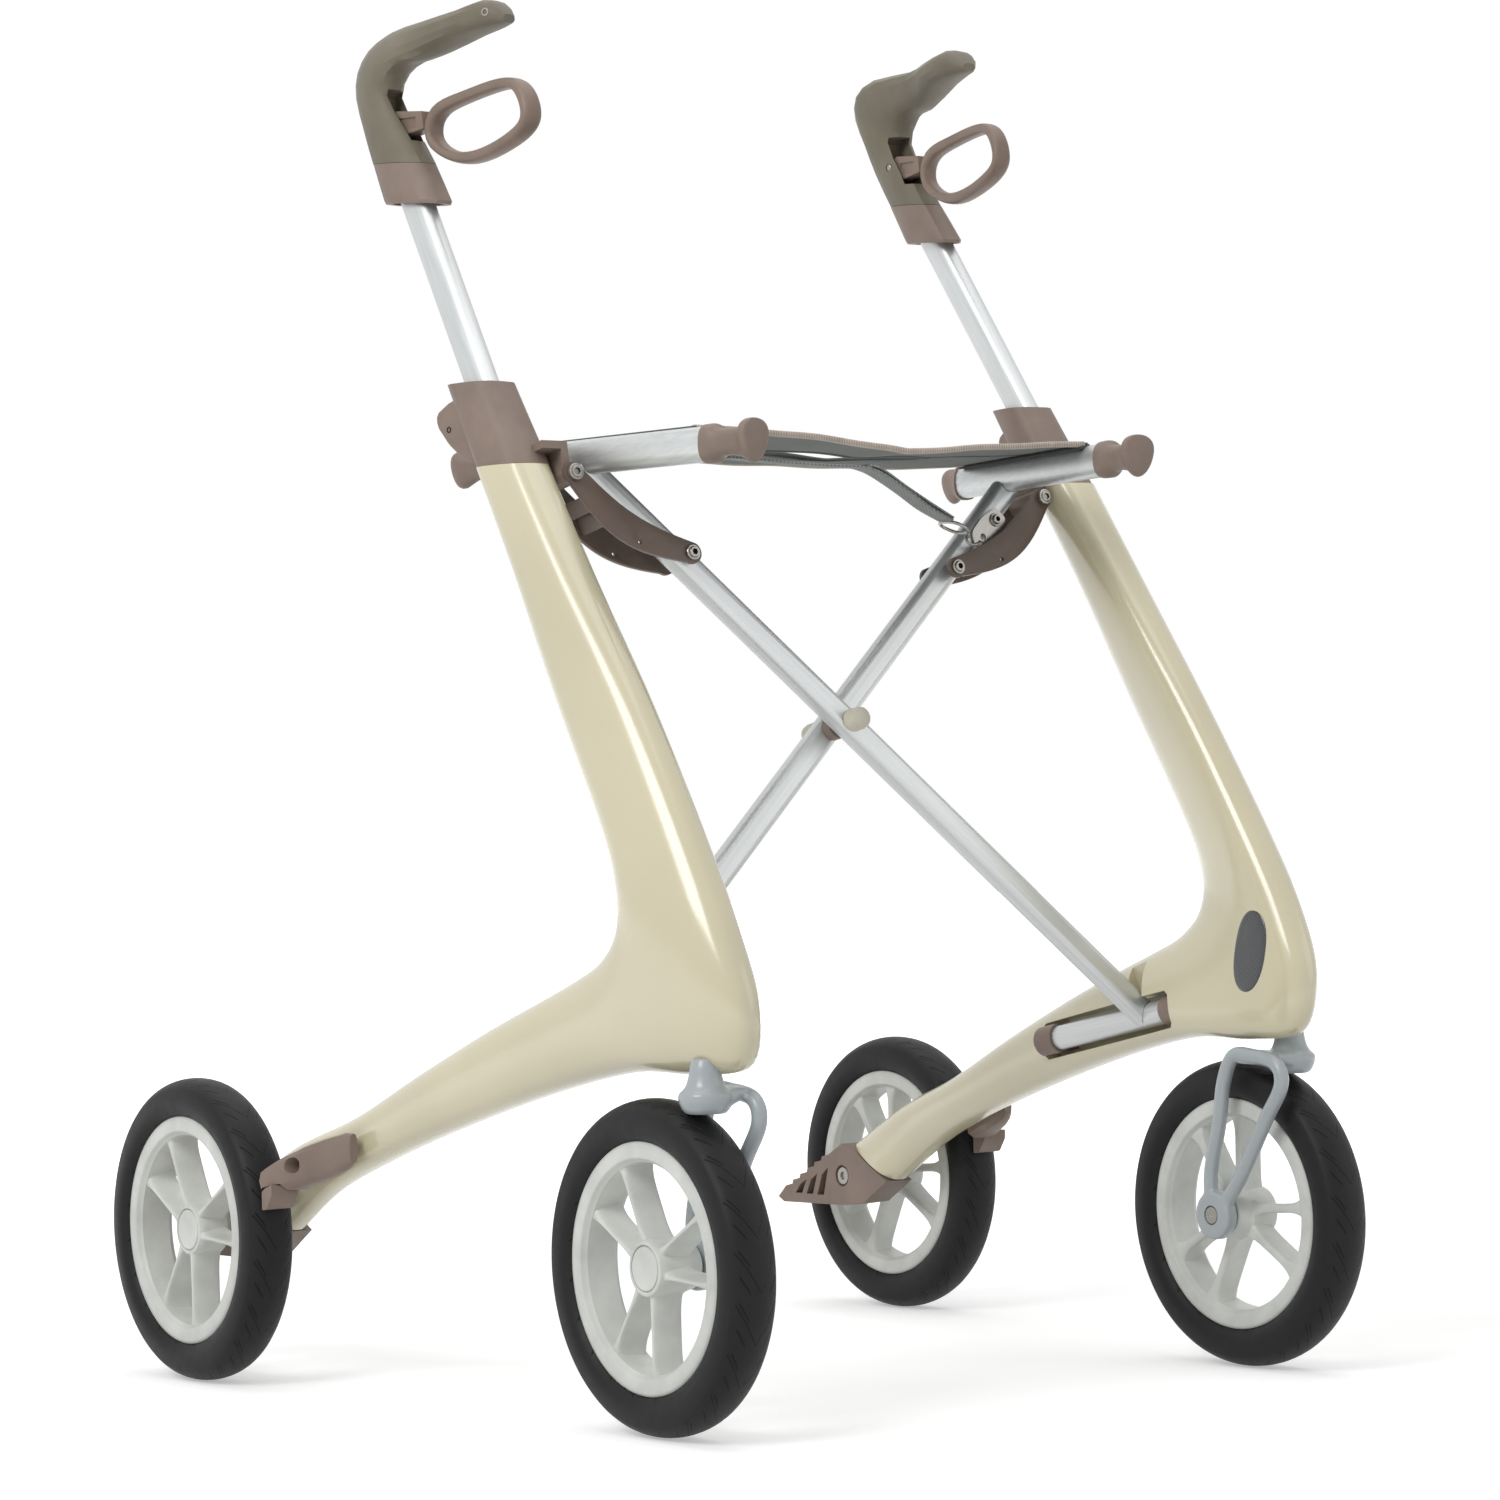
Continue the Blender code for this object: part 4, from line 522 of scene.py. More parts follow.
def combined(piece, others, operation):
    """Cuts other solids from a piece, or joins them to it."""
    for other in others:
        worked(piece, "BOOLEAN", object=other, operation=operation, solver="EXACT")
    settled(piece, others)


def softened(piece, width, segments, angle):
    """Rounds the edges that are sharper than an angle in degrees."""
    worked(piece, "BEVEL", width=width, segments=segments, limit_method="ANGLE",
           angle_limit=math.radians(angle))
    settled(piece)


def revolve(bm, profile, steps):
    """Closed ring of quads from an outline of (radius, height along X) rows."""
    loft(bm, [[(h, r * c, r * s) for r, h in profile] for c, s in even_turns(steps)], True)


def arc(centre_r, centre_h, reach_r, reach_h, start, end, count):
    return [(centre_r + reach_r * math.cos(math.radians(start + (end - start) * k / count)),
             centre_h + reach_h * math.sin(math.radians(start + (end - start) * k / count)))
            for k in range(count + 1)]


def tyre_outline():
    """Rounded tread, soft shoulders, straight walls and the bead in the rim's seat."""
    crown = arc(0.0905, 0.0, 0.0095, 0.0165, 78, -78, 14)
    wall = [(0.0850, -0.0172), (0.0800, -0.0166), (0.0767, -0.0142), (0.0730, -0.0100)]
    return crown + wall + [(r, -h) for r, h in wall[::-1]]


def rim_outline():
    """Two rounded flanges with the flat well between them."""
    flange = (arc(0.0715, 0.0125, 0.0036, 0.0015, 0, 90, 3)
              + arc(0.0665, 0.0125, 0.0018, 0.0015, 90, 180, 3) + [(0.0628, 0.0100)])
    return flange + [(r, -h) for r, h in flange[::-1]] + [(0.0727, -0.0098), (0.0727, 0.0098)]


def hub_outline(out, back):
    """Hub with a sunk cap line on its outer face."""
    return [(0.0001, out), (0.0128, out), (0.0132, out - 0.0004), (0.0133, out - 0.0016),
            (0.0139, out - 0.0016), (0.0140, out - 0.0002), (0.0145, out + 0.0001), (0.0162, out - 0.0006),
            (0.0172, out - 0.0028), (0.0176, 0.0060), (0.0176, -0.0100), (0.0162, -0.0118),
            (0.0145, -back + 0.001), (0.0135, -back), (0.0001, -back)]


def spoke(bm, turn, foot, tip):
    """One spoke: a thin front edge that thickens to the back and flares into hub and rim."""
    a, b = (Vector((r * math.cos(math.radians(angle)), r * math.sin(math.radians(angle)), 0))
            for r, angle in ((0.0150, foot), (0.0648, tip)))
    flank = UP.cross((b - a).normalized())
    rings = []
    for share in (0, 0.05, 0.1, 0.17, 0.27, 0.5, 0.7, 0.81, 0.89, 0.95, 1):
        flare = 0.0075 * max(0, (share - 0.55) / 0.45) ** 4 + 0.0040 * max(0, (0.4 - share) / 0.4) ** 3
        ring = []
        for across, rise in oval(1, 0.0100, 24, 2 / 0.45):
            deep = rise - 0.0006
            half = 0.0015 + 0.0019 * (0.5 - deep / 0.0200) + flare * (0.75 - deep / 0.040)
            ring.append(turn @ (a.lerp(b, share) + flank * half * across + Vector((0, 0, deep))))
        rings.append(ring)
    loft(bm, rings)


def build_wheel(side, sign, end):
    """Round tyre, and a rim with its hub and three pairs of spokes."""
    bm = bmesh.new()
    revolve(bm, tyre_outline(), 120)
    tyre = mesh_object(f"{side}_{end}_round_tyre", bm)
    bm = bmesh.new()
    revolve(bm, rim_outline(), 96)
    hub = hub_outline(0.0120, 0.0205) if end == "front" else hub_outline(0.0102, 0.0150)
    revolve(bm, [(r, h * sign) for r, h in hub], 48)
    turn = UP.rotation_difference(Vector((sign, 0, 0)))
    for middle in (43.5, 163.5, 283.5):
        for way in (-1, 1):
            spoke(bm, turn, middle + way * 27.0, middle + way * 19.5)
    rim = mesh_object(f"{side}_{end}_round_rim", bm)
    for piece, look, kind, sharp in ((tyre, tread, "tyre", None), (rim, rim_plastic, "rim", 35)):
        piece.location = (WHEELS[end].x * sign, WHEELS[end].y, WHEELS[end].z)
        dressed(piece, look, f"{side}_{end}_wheel", sharp, f"{side}_{end}_{kind}")


def rail_x(y):
    """Middle of the left seat rail, which toes in to the front."""
    return 0.1785 + (y + 0.0710) * math.tan(RAIL_YAW)


def sling_height(x, y):
    """Underside of the sling: it lies on the rails, dips at its front edge and pulls flat at its rear."""
    share = max(-1, min(1, x / rail_x(y)))
    back = (y - SEAT_FRONT) / (SEAT_REAR - SEAT_FRONT)
    lowest = 0.06
    off = share - lowest
    reach = 1 - math.copysign(lowest, off)
    front_dip = 0.0098 * (1 - min(abs(off) / reach, 1)) ** (1.3 if off > 0 else 2.3)
    rear_dip = 0.0055 * (1 - share ** 4)
    pucker = 0.0004 * math.sin(x * 95 + y * 30) * (1 - share ** 2)
    return RAIL_TOP + 0.0004 - front_dip * (1 - back) - rear_dip * back + pucker


def slot_lips(x):
    """Front and rear edge of the slot at x."""
    if not SLOT_RIGHT < x < SLOT_LEFT:
        return SLOT_Y, SLOT_Y
    swell = math.sin(math.pi * (x - SLOT_RIGHT) / (SLOT_LEFT - SLOT_RIGHT)) ** 0.6
    return SLOT_Y - 0.0145 * swell, SLOT_Y + 0.0130 * swell


def seat_grid(bm, band, lift, columns, rows):
    """Points of the cloth before the slot (band 0) or behind it (band 1)."""
    inset = 0.0035
    grid = []
    for i in range(columns + 1):
        u = -1 + 2 * i / columns
        front, rear = slot_lips(u * (rail_x(SLOT_Y) - inset))
        low, high = ((SEAT_FRONT, front), (rear, SEAT_REAR))[band]
        line = []
        for j in range(rows + 1):
            y = low + (high - low) * j / rows
            x = u * (rail_x(y) - inset)
            line.append(bm.verts.new((x, y, sling_height(x, y) + lift)))
        grid.append(line)
    return grid


def seat_sheet(thickness=0.0012, columns=110, rows=12):
    """Both faces of the sling with the slot's edges closed."""
    bm = bmesh.new()
    lower, upper = ([seat_grid(bm, band, lift, columns, rows) for band in (0, 1)]
                    for lift in (0, thickness))
    for k, grid in enumerate(lower + upper):
        for a, b in zip(grid, grid[1:]):
            for j in range(rows):
                quad = (a[j], b[j], b[j + 1], a[j + 1])
                bm.faces.new(quad if k > 1 else quad[::-1])
    for low, high in zip(lower, upper):
        for i in range(columns):
            for j in (0, rows):
                bm.faces.new((low[i][j], low[i + 1][j], high[i + 1][j], high[i][j]))
        for i in (0, -1):
            for j in range(rows):
                bm.faces.new((low[i][j], low[i][j + 1], high[i][j + 1], high[i][j]))
    bmesh.ops.remove_doubles(bm, verts=bm.verts, dist=1e-6)
    # Where the two bands meet outside the slot, the inner walls coincide: both go
    seen = {}
    for face in list(bm.faces):
        twin = seen.setdefault(frozenset(face.verts), face)
        if twin is not face:
            bm.faces.remove(face)
            bm.faces.remove(twin)
    return bm


def build_seat():
    seat = dressed(mesh_object("seat_cloth", seat_sheet()), cloth, SEAT, 35, "seat_sling")
    seat.data.materials.append(woven("seat_weave_under", CLOTH_UNDER, 0.0011, 0.1))
    for face in seat.data.polygons:
        if face.normal.z < 0.25:
            face.material_index = 1
    return seat


# Side frame: rows of rear or upper edge, front or lower edge (y, z), middle x, half thickness, yaw
FRAME_STATIONS = [
    (-0.0413, 0.5865, -0.0896, 0.5865, 0.2235, 0.0176, 10.5),
    (-0.0838, 0.5195, -0.1390, 0.5172, 0.2252, 0.0172, 10.5),
    (-0.1292, 0.4397, -0.2015, 0.4327, 0.2260, 0.0168, 10.0),
    (-0.1790, 0.3592, -0.2580, 0.3463, 0.2272, 0.0175, 9.5),
    (-0.1937, 0.3234, -0.2871, 0.2946, 0.2279, 0.0183, 8.5),
    (-0.1904, 0.2983, -0.3012, 0.2549, 0.2267, 0.0188, 7.5),
    (-0.1713, 0.2804, -0.2927, 0.2206, 0.2252, 0.0193, 7.0),
    (-0.1442, 0.2689, -0.2511, 0.2140, 0.2258, 0.0193, 6.5),
    (-0.1095, 0.2565, -0.1876, 0.2133, 0.2283, 0.0192, 6.5),
    (-0.0534, 0.2364, -0.1035, 0.1972, 0.2337, 0.0184, 6.5),
    (0.0183, 0.2078, -0.0026, 0.1703, 0.2405, 0.0174, 6.5),
    (0.0876, 0.1782, 0.0715, 0.1469, 0.2465, 0.0164, 6.5),
    (0.1561, 0.1555, 0.1231, 0.1262, 0.2530, 0.0150, 6.5),
    (0.2190, 0.1250, 0.1690, 0.0995, 0.2550, 0.0140, 6.5),
]


def frame_ring(row):
    """Section of the side frame between its two edges."""
    y0, z0, y1, z1, x, half, yaw = row
    toe = math.tan(math.radians(yaw))
    middle = (y0 + y1) / 2
    inner = Vector((x + (y0 - middle) * toe, y0, z0))
    outer = Vector((x + (y1 - middle) * toe, y1, z1))
    chord = (inner - outer) / 2
    side = Vector((1, -toe, 0)).normalized()
    return section((inner + outer) / 2, chord.normalized(), side, chord.length, half, 56, 2.5)


def build_shell(side, sign):
    """Side frame with a seamless surface, the recess of the lower tube and the foot's slot."""
    shell = lofted(side + "_frame_shell",
                   flipped([frame_ring(row) for row in smooth_through(FRAME_STATIONS, 6)], sign))
    half, corner = 0.01245, 0.003
    low, high = -0.1001, 0.0459
    outline = [(low + corner, -half), (high - corner, -half), (high, -half + corner), (high, half - corner),
               (high - corner, half), (low + corner, half), (low, half - corner), (low, -half + corner)]
    recess = prism("recess", outline, 0.17, PIVOT_SPAN + 0.0153,
                   lambda t, v, u: fold_point(u, v - PIVOT_DROP, t), sign)
    steep = SLOPE + math.radians(34)
    along = Vector((-math.cos(steep), math.sin(steep)))
    out = Vector((math.sin(steep), math.cos(steep))) * (STRUT_WIDE / 2 + CLEARANCE)
    fan = [tuple(out), tuple(out + along * 0.07), (-0.05, 0.07), (-0.05, -0.006), (0, -0.006)]
    plane, room = STRUT_OFFSET * sign, STRUT_THICK / 2 + CLEARANCE
    slot = prism("foot_slot", fan, plane - room, plane + room,
                 lambda a, b, t: fold_point(PIVOT_SPAN + a, b - PIVOT_DROP, t), sign)
    combined(shell, [recess, slot], "DIFFERENCE")
    dressed(shell, cream, side + "_frame", 30, side + "_side_frame")


def build_fork(side, sign):
    """Cast caster fork: tapered stem, flared collar and two arms that meet in the axle's boss."""
    foot = Vector((FORK_X, WHEELS["front"].y, WHEELS["front"].z))
    arms = [(-0.2186, 0.106), (-0.2185, 0.128), (-0.2275, 0.160), (-0.2325, 0.186), (-0.2425, 0.2035),
            (-0.2600, 0.2042), (-0.2820, 0.2000), (-0.2868, 0.1860), (-0.2720, 0.1640), (-0.2500, 0.130),
            (-0.2296, 0.106)]
    bm = bmesh.new()
    path = [Vector((FORK_X, y, z)) for y, z in smooth_through(arms, 7)]
    loft(bm, flipped(tube_rings(path, 0.0049), sign))
    web = [(0.2043, -0.2610, 0.2030, 0.0205, 0.0042), (0.2123, -0.2625, 0.2030, 0.0180, 0.0050),
           (0.2213, -0.2680, 0.2015, 0.0145, 0.0058), (0.2343, -0.2690, 0.2010, 0.0135, 0.0060)]
    loft(bm, flipped([[Vector((x, y + p, z + q)) for p, q in oval(deep, high, 24, 3)]
                      for x, y, z, deep, high in smooth_through(web, 4)], sign))
    stem = [(0.001, 0.2250), (0.0072, 0.2248), (0.0090, 0.2200), (0.0100, 0.2140), (0.0113, 0.2095),
            (0.0132, 0.2065), (0.0158, 0.2045), (0.0164, 0.2025), (0.0158, 0.1990), (0.0140, 0.1950),
            (0.0118, 0.1925), (0.001, 0.1925)]
    loft(bm, flipped(turned_rings(stem, (STEM_X, STEM_Y, 0), (0, 0, 1)), sign))
    boss = [(0.001, -0.0050), (0.0140, -0.0050), (0.0158, -0.0036), (0.0160, 0.0030), (0.0145, 0.0050),
            (0.001, 0.0050)]
    loft(bm, flipped(turned_rings(boss, foot, ACROSS), sign))
    fork = mesh_object(side + "_cast_fork", bm)
    worked(fork, "REMESH", mode="VOXEL", voxel_size=0.0011)
    worked(fork, "SMOOTH", iterations=5, factor=0.5)
    settled(fork)
    combined(fork, [drill(radius, -0.02, high, foot, ACROSS, 28, sign)
                    for radius, high in ((0.0064, -0.0024), (0.0043, 0.02))], "DIFFERENCE")
    dressed(fork, fork_paint, side + "_caster", 50, side + "_caster_fork")


# Rail caps: start, direction, and rows of distance, half width, half height, shift and shield
CAPS = {
    "front": (-0.1853, -1, [
        (0.0062, 0.0097, 0.0122, 0, 0), (0.0085, 0.0090, 0.0113, 0, 0), (0.0100, 0.0078, 0.0094, 0.0002, 0),
        (0.0150, 0.0070, 0.0082, 0.0004, 0.1), (0.0220, 0.0066, 0.0080, 0.0005, 0.3),
        (0.0280, 0.0072, 0.0088, 0.0006, 0.6), (0.0322, 0.0096, 0.0106, 0.0008, 0.9),
        (0.0348, 0.0124, 0.0124, 0.0009, 1), (0.0368, 0.0136, 0.0130, 0.0010, 1),
        (0.0396, 0.0138, 0.0131, 0.0010, 1), (0.0409, 0.0132, 0.0126, 0.0010, 1),
        (0.0415, 0.0112, 0.0108, 0.0010, 1)]),
    "rear": (-0.0017, 1, [
        (0.0050, 0.0094, 0.0120, 0.0006, 0), (0.0072, 0.0078, 0.0086, 0.0016, 0),
        (0.0120, 0.0066, 0.0074, 0.0026, 0.2), (0.0180, 0.0066, 0.0076, 0.0040, 0.5),
        (0.0225, 0.0088, 0.0098, 0.0052, 0.9), (0.0255, 0.0106, 0.0114, 0.0060, 1),
        (0.0290, 0.0108, 0.0116, 0.0062, 1), (0.0315, 0.0100, 0.0108, 0.0064, 1),
        (0.0325, 0.0080, 0.0090, 0.0064, 1)]),
}


def build_cap(side, sign, end):
    """Rail cap: a plug, a sleeve, a waisted neck and the shield-shaped button with its broad top."""
    across = Vector((math.cos(RAIL_YAW) * sign, -math.sin(RAIL_YAW), 0))
    start, way, rows = CAPS[end]
    plug, lip = -0.0022, 0.0010
    sleeve = [(away, RAIL_HALF_WIDE + more, RAIL_HALF_HIGH + more, 0, 0)
              for away, more in ((-0.012, plug), (0, plug), (0, lip))]
    rings = []
    for away, half_wide, half_high, shift, shield in sleeve + rows:
        y = start + way * away
        centre = Vector((rail_x(y) * sign, y, RAIL_HEIGHT)) + across * shift
        ring = []
        for a, b in oval(half_wide, half_high, 36, 2.5 - 0.3 * shield):
            narrow = 1 - 0.42 * shield * max(0, 0.5 - 0.5 * b / half_high)
            drop = 0.0 if b > 0 else -0.0012 * shield * (1 - abs(a) / half_wide)
            ring.append(centre + across * a * narrow + Vector((0, 0, b + drop)))
        rings.append(ring)
    dressed(lofted(f"{side}_{end}_button", rings), taupe, OTHER[side] + "_strut", 50,
            f"{side}_rail_cap_{end}")


def socket_bolt(name, place, axis, radius, body, height):
    """Button-head bolt with a ring washer and a hexagonal socket, whose inside is painted near-black as its
    shade.
    """
    wide = axis.orthogonal().normalized()
    thin = axis.cross(wide)
    head = [(1.0, 0.0), (1.0, 0.25), (0.93, 0.42), (0.78, 0.42), (0.74, 0.30), (0.72, 0.34), (0.70, 0.80),
            (0.60, 1.0)]
    socket = [(0.44, 1.0), (0.40, 0.94), (0.40, 0.15), (0.02, 0.10)]
    rings = []
    for share, up in head + socket:
        ring = []
        for k in range(36):
            angle = 2 * math.pi * k / 36
            r = share * radius
            if (share, up) in socket:
                r *= math.cos(math.pi / 6) / math.cos((angle % (math.pi / 3)) - math.pi / 6)
            ring.append(place + axis * up * height + wide * r * math.cos(angle) + thin * r * math.sin(angle))
        rings.append(ring)
    bolt = dressed(lofted(name, rings), steel, body, 30)
    # Painted shade: the faces inside the socket take the near-black material.
    bolt.data.materials.append(dark)
    for face in bolt.data.polygons:
        off = face.center - place
        rise = off.dot(axis)
        face.material_index = int((off - axis * rise).length < 0.43 * radius and rise < 0.99 * height)


def build_bolts(side, sign):
    """Bolts of a link: one each way at its foot, and one at its top."""
    plane = -STRUT_OFFSET * sign
    for way, label in ((1, "front"), (-1, "rear")):
        place = fold_point(LINK_FOOT.x * sign, LINK_FOOT.y, plane + way * (LINK_OUTER + 0.0008))
        socket_bolt(f"{side}_link_foot_bolt_{label}", place, FOLD_AXIS * way, 0.0050, side + "_link",
                    0.0024)
    head = fold_point(LINK_TOP.x * sign, LINK_TOP.y, plane + LINK_OUTER + 0.0029)
    socket_bolt(side + "_link_top_bolt", head, FOLD_AXIS, 0.0052, side + "_frame", 0.0016)


def build_handle_tube(side, sign):
    """Telescoping tube as one plain drawn oval."""
    foot, head = Vector((0.2205, -0.0274, 0.643)), Vector((0.2138, 0.0535, 0.765))
    along = (head - foot).normalized()
    yaw = math.radians(10)
    across = Vector((math.cos(yaw), -math.sin(yaw), 0))
    across = (across - along * across.dot(along)).normalized()
    back = along.cross(across)
    collar_top, sleeve_inside, hidden = 0.6415, 0.7985, 0.190
    low = foot + along * ((collar_top - foot.z) / along.z - hidden)
    top = foot + along * ((sleeve_inside - foot.z) / along.z)
    rings = [section(low.lerp(top, k / 5), back, across, 0.0113, 0.0074, 48, 2.8) for k in range(6)]
    dressed(lofted(side + "_drawn_tube", flipped(rings, sign)), silver_up, side + "_handle",
            50, side + "_handle_tube")


def cloth_edge(name, look, y_of, x_from, x_to, count, lift, wide, thick):
    """Flat fold of cloth along an edge of the seat, bending with it."""
    points = []
    for k in range(count + 1):
        x = x_from + (x_to - x_from) * k / count
        points.append(Vector((x, y_of(x), sling_height(x, y_of(x)) + lift)))
    rings = []
    for here, ahead in zip(points, headings(points)):
        side = ahead.cross(UP).normalized()
        rings.append(section(here, side, side.cross(ahead), wide, thick, 14, 3))
    return dressed(lofted(name, rings), look, SEAT, None)


def build_seat_edges():
    """Hems of the seat's front and rear, lighter by a painted highlight, and of both lips of its slot, darker
    by painted shade, and two rows of stitches.
    """
    # The front and rear hems carry a painted highlight.
    lit_hem_look = woven("hem_weave", HEM, 0.0010, 0.2)
    # The slot's lip hems carry painted shade.
    shaded_slot_hem = woven("dark_hem_weave", SHADED_SLOT_HEM, 0.0010, 0.1)
    front, rear = rail_x(SEAT_FRONT) - 0.006, rail_x(SEAT_REAR) - 0.006
    pieces = [cloth_edge("seat_front_hem", lit_hem_look, lambda x: SEAT_FRONT + 0.003, -front, front, 80,
                         0.0003, 0.0032, 0.0019),
              cloth_edge("seat_rear_hem", lit_hem_look, lambda x: SEAT_REAR - 0.003, -rear, rear, 80,
                         0.0004, 0.0030, 0.0012)]
    for lip, label in enumerate(("front", "rear")):
        pieces.append(cloth_edge(f"slot_{label}_hem", shaded_slot_hem,
                                 lambda x: slot_lips(x)[lip] + (2 * lip - 1) * 0.0016,
                                 SLOT_RIGHT - 0.006, SLOT_LEFT + 0.006, 70, 0.0002, 0.0022, 0.0011))
    pitch, inset = 0.0042, 0.0078
    bm = bmesh.new()
    for y, reach in ((SEAT_FRONT + inset, front), (SEAT_REAR - inset, rear)):
        x = -reach + 0.004
        while x < reach - 0.006:
            points = [Vector((a, y, sling_height(a, y) + rise))
                      for a, rise in ((x, 0.0010), (x + 0.0014, 0.0013), (x + 0.0028, 0.0010))]
            loft(bm, tube_rings(points, 0.00032, 6))
            x += pitch
    stitches = mesh_object("seat_stitches", bm)
    stitches.data.materials.append(moulded("stitch_thread", (120, 112, 104), 0.8, 2500, 0.3))
    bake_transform(stitches)
    return pieces + [stitches]


def build_strap():
    """Webbing pull strap, sewn under the rear lip of the slot and folded over the wire ring at its end."""
    lie = -0.0750
    keys = [(-0.0700, lie, 0.5958), (-0.0500, lie, 0.5952), (-0.0200, lie, 0.5938), (0.0100, lie, 0.5930),
            (0.0330, lie, 0.5930), (0.0425, lie - 0.001, 0.5922), (0.0520, -0.0800, 0.5880),
            (0.0712, -0.0825, 0.5770), (0.0877, -0.0845, 0.5664), (0.1045, -0.0855, 0.5588)]
    path = [Vector(p) for p in smooth_through(keys, 6)]
    flat = Vector((0.10, 0.97, 0.05)).normalized()
    bm = bmesh.new()
    folded_back = 24
    for points, half_wide, half_thick, lift, ripple in (
            (path, 0.0098, 0.0009, 0, 0), (path[-folded_back:], 0.0096, 0.0008, 0.0021, 0.0005)):
        rings = []
        for i, (here, ahead) in enumerate(zip(points, headings(points))):
            thin = ahead.cross(flat).normalized()
            middle = here + thin * (lift + ripple * math.sin(i / 2.2))
            rings.append(section(middle, flat, thin, half_wide, half_thick, 20, 5))
        loft(bm, rings)
    dressed(mesh_object("pull_webbing", bm), webbing, SEAT, 40, "pull_strap")
    build_strap_ring(flat)


def build_strap_ring(flat):
    """Wire ring of rounded D shape; its straight side lies in the strap's fold."""
    middle, down = Vector((0.1120, -0.0855, 0.5540)), Vector((0.90, 0, -0.43))
    half_wide, half_deep, wire = 0.0125, 0.0082, 0.00115
    loop = [middle + flat * a * (1 - 0.25 * max(0, b / half_deep)) + down * b
            for a, b in oval(half_wide, half_deep, 40, 2 / 0.7)]
    rings = []
    for here, ahead in zip(loop, headings(loop, True)):
        out = ahead.cross(Vector((0.43, 0, 0.90))).normalized()
        rings.append(section(here, out, ahead.cross(out), wire, wire, 12, 2))
    dressed(lofted("pull_ring", rings, True), steel, SEAT, None, "strap_ring")


def build_inlay():
    """Plain oval inlay of woven look on the inner face of the left frame, pressed onto the shell."""
    shell = bpy.data.objects["left_frame_shell"]
    tree = BVHTree.FromObject(shell, bpy.context.evaluated_depsgraph_get())
    long_way = Vector((0, -0.16, 0.987)).normalized()
    wide_way = Vector((0, 0.987, 0.16)).normalized()
    centre = Vector((0.15, -0.2600, 0.2715))
    raised = 0.0005
    rings = []
    for share, lift in ((1.0, -0.0001), (0.985, 0.0003), (0.93, raised), (0.7, raised), (0.45, raised),
                        (0.2, raised), (0.001, raised)):
        ring = []
        for a, b in oval(0.0150 * share, 0.0265 * share, 48, 2.2):
            hit, normal, _, _ = tree.ray_cast(centre + wide_way * a + long_way * b, ACROSS, 0.2)
            ring.append(hit + normal * lift)
        rings.append(ring)
    bm = bmesh.new()
    loft(bm, rings, foot=False)
    dressed(mesh_object("oval_inlay", bm), twill("twill_inlay"), "left_frame", 60)


# Finger loop of the lever: rows of outer edge, inner edge (y, z) and half width
LEVER_LOOP = [
    (0.0555, 0.8290, 0.0470, 0.8210, 0.0066), (0.0160, 0.8345, 0.0160, 0.8268, 0.0060),
    (-0.0215, 0.8385, -0.0250, 0.8308, 0.0060), (-0.0430, 0.8320, -0.0370, 0.8250, 0.0064),
    (-0.0515, 0.8125, -0.0430, 0.8110, 0.0070), (-0.0420, 0.7985, -0.0360, 0.8045, 0.0072),
    (-0.0140, 0.7895, -0.0110, 0.7970, 0.0068), (0.0130, 0.7865, 0.0140, 0.7950, 0.0064),
    (0.0380, 0.7945, 0.0340, 0.8000, 0.0062), (0.0565, 0.8095, 0.0500, 0.8125, 0.0066),
]
LEVER_NECK = [(0.0520, 0.8150), (0.0540, 0.8265), (0.0830, 0.8300), (0.0925, 0.8260), (0.0925, 0.8170),
              (0.0840, 0.8120)]
LEVER_PANEL = [(0.0600, 0.8165), (0.0600, 0.8235), (0.0780, 0.8245), (0.0780, 0.8165)]


def lever_point(y, z, across=0.0):
    """Point of the left lever, whose plane moves out to the rear."""
    return Vector((0.2085 + (y - 0.0860) * 0.128 + across, y, z))


def build_lever(side, sign):
    """Brake lever: an even finger loop on a neck with its sunk panel."""
    steps = 7
    closed = [LEVER_LOOP[-1]] + LEVER_LOOP + LEVER_LOOP[:2]
    rows = np.array(smooth_through(closed, steps)[steps:steps * len(LEVER_LOOP) + 1])
    for _ in range(10):
        rows = (np.roll(rows, 1, 0) + 2 * rows + np.roll(rows, -1, 0)) / 4
    rings = []
    for y0, z0, y1, z1, half in rows:
        outer, inner = lever_point(y0, z0), lever_point(y1, z1)
        chord = (outer - inner) / 2
        rings.append(section((outer + inner) / 2, chord.normalized(), ACROSS, max(chord.length, 0.0030), half,
                             20, 2.5))
    lever = lofted(side + "_finger_lever", flipped(rings, sign), True)
    combined(lever, [prism("neck", LEVER_NECK, -0.0058, 0.0058, lever_point, sign)], "UNION")
    combined(lever, [prism("panel", LEVER_PANEL, low, low + 0.0034, lever_point, sign)
                     for low in (0.0046, -0.0080)], "DIFFERENCE")
    softened(lever, 0.0006, 2, 50)
    dressed(lever, lever_plastic, side + "_lever", 40, side + "_brake_lever")


LINK_SAG, LINK_END = 0.0105, 0.0070
LINK_RUN = LINK_FOOT - LINK_TOP
LINK_OUTWARD = -Vector((LINK_RUN.y, -LINK_RUN.x)).normalized()


def link_middle(share, more=0.0):
    """Point on a link's curved middle line, or beside it."""
    return LINK_TOP + LINK_RUN * share + LINK_OUTWARD * (LINK_SAG * math.sin(math.pi * share) + more)


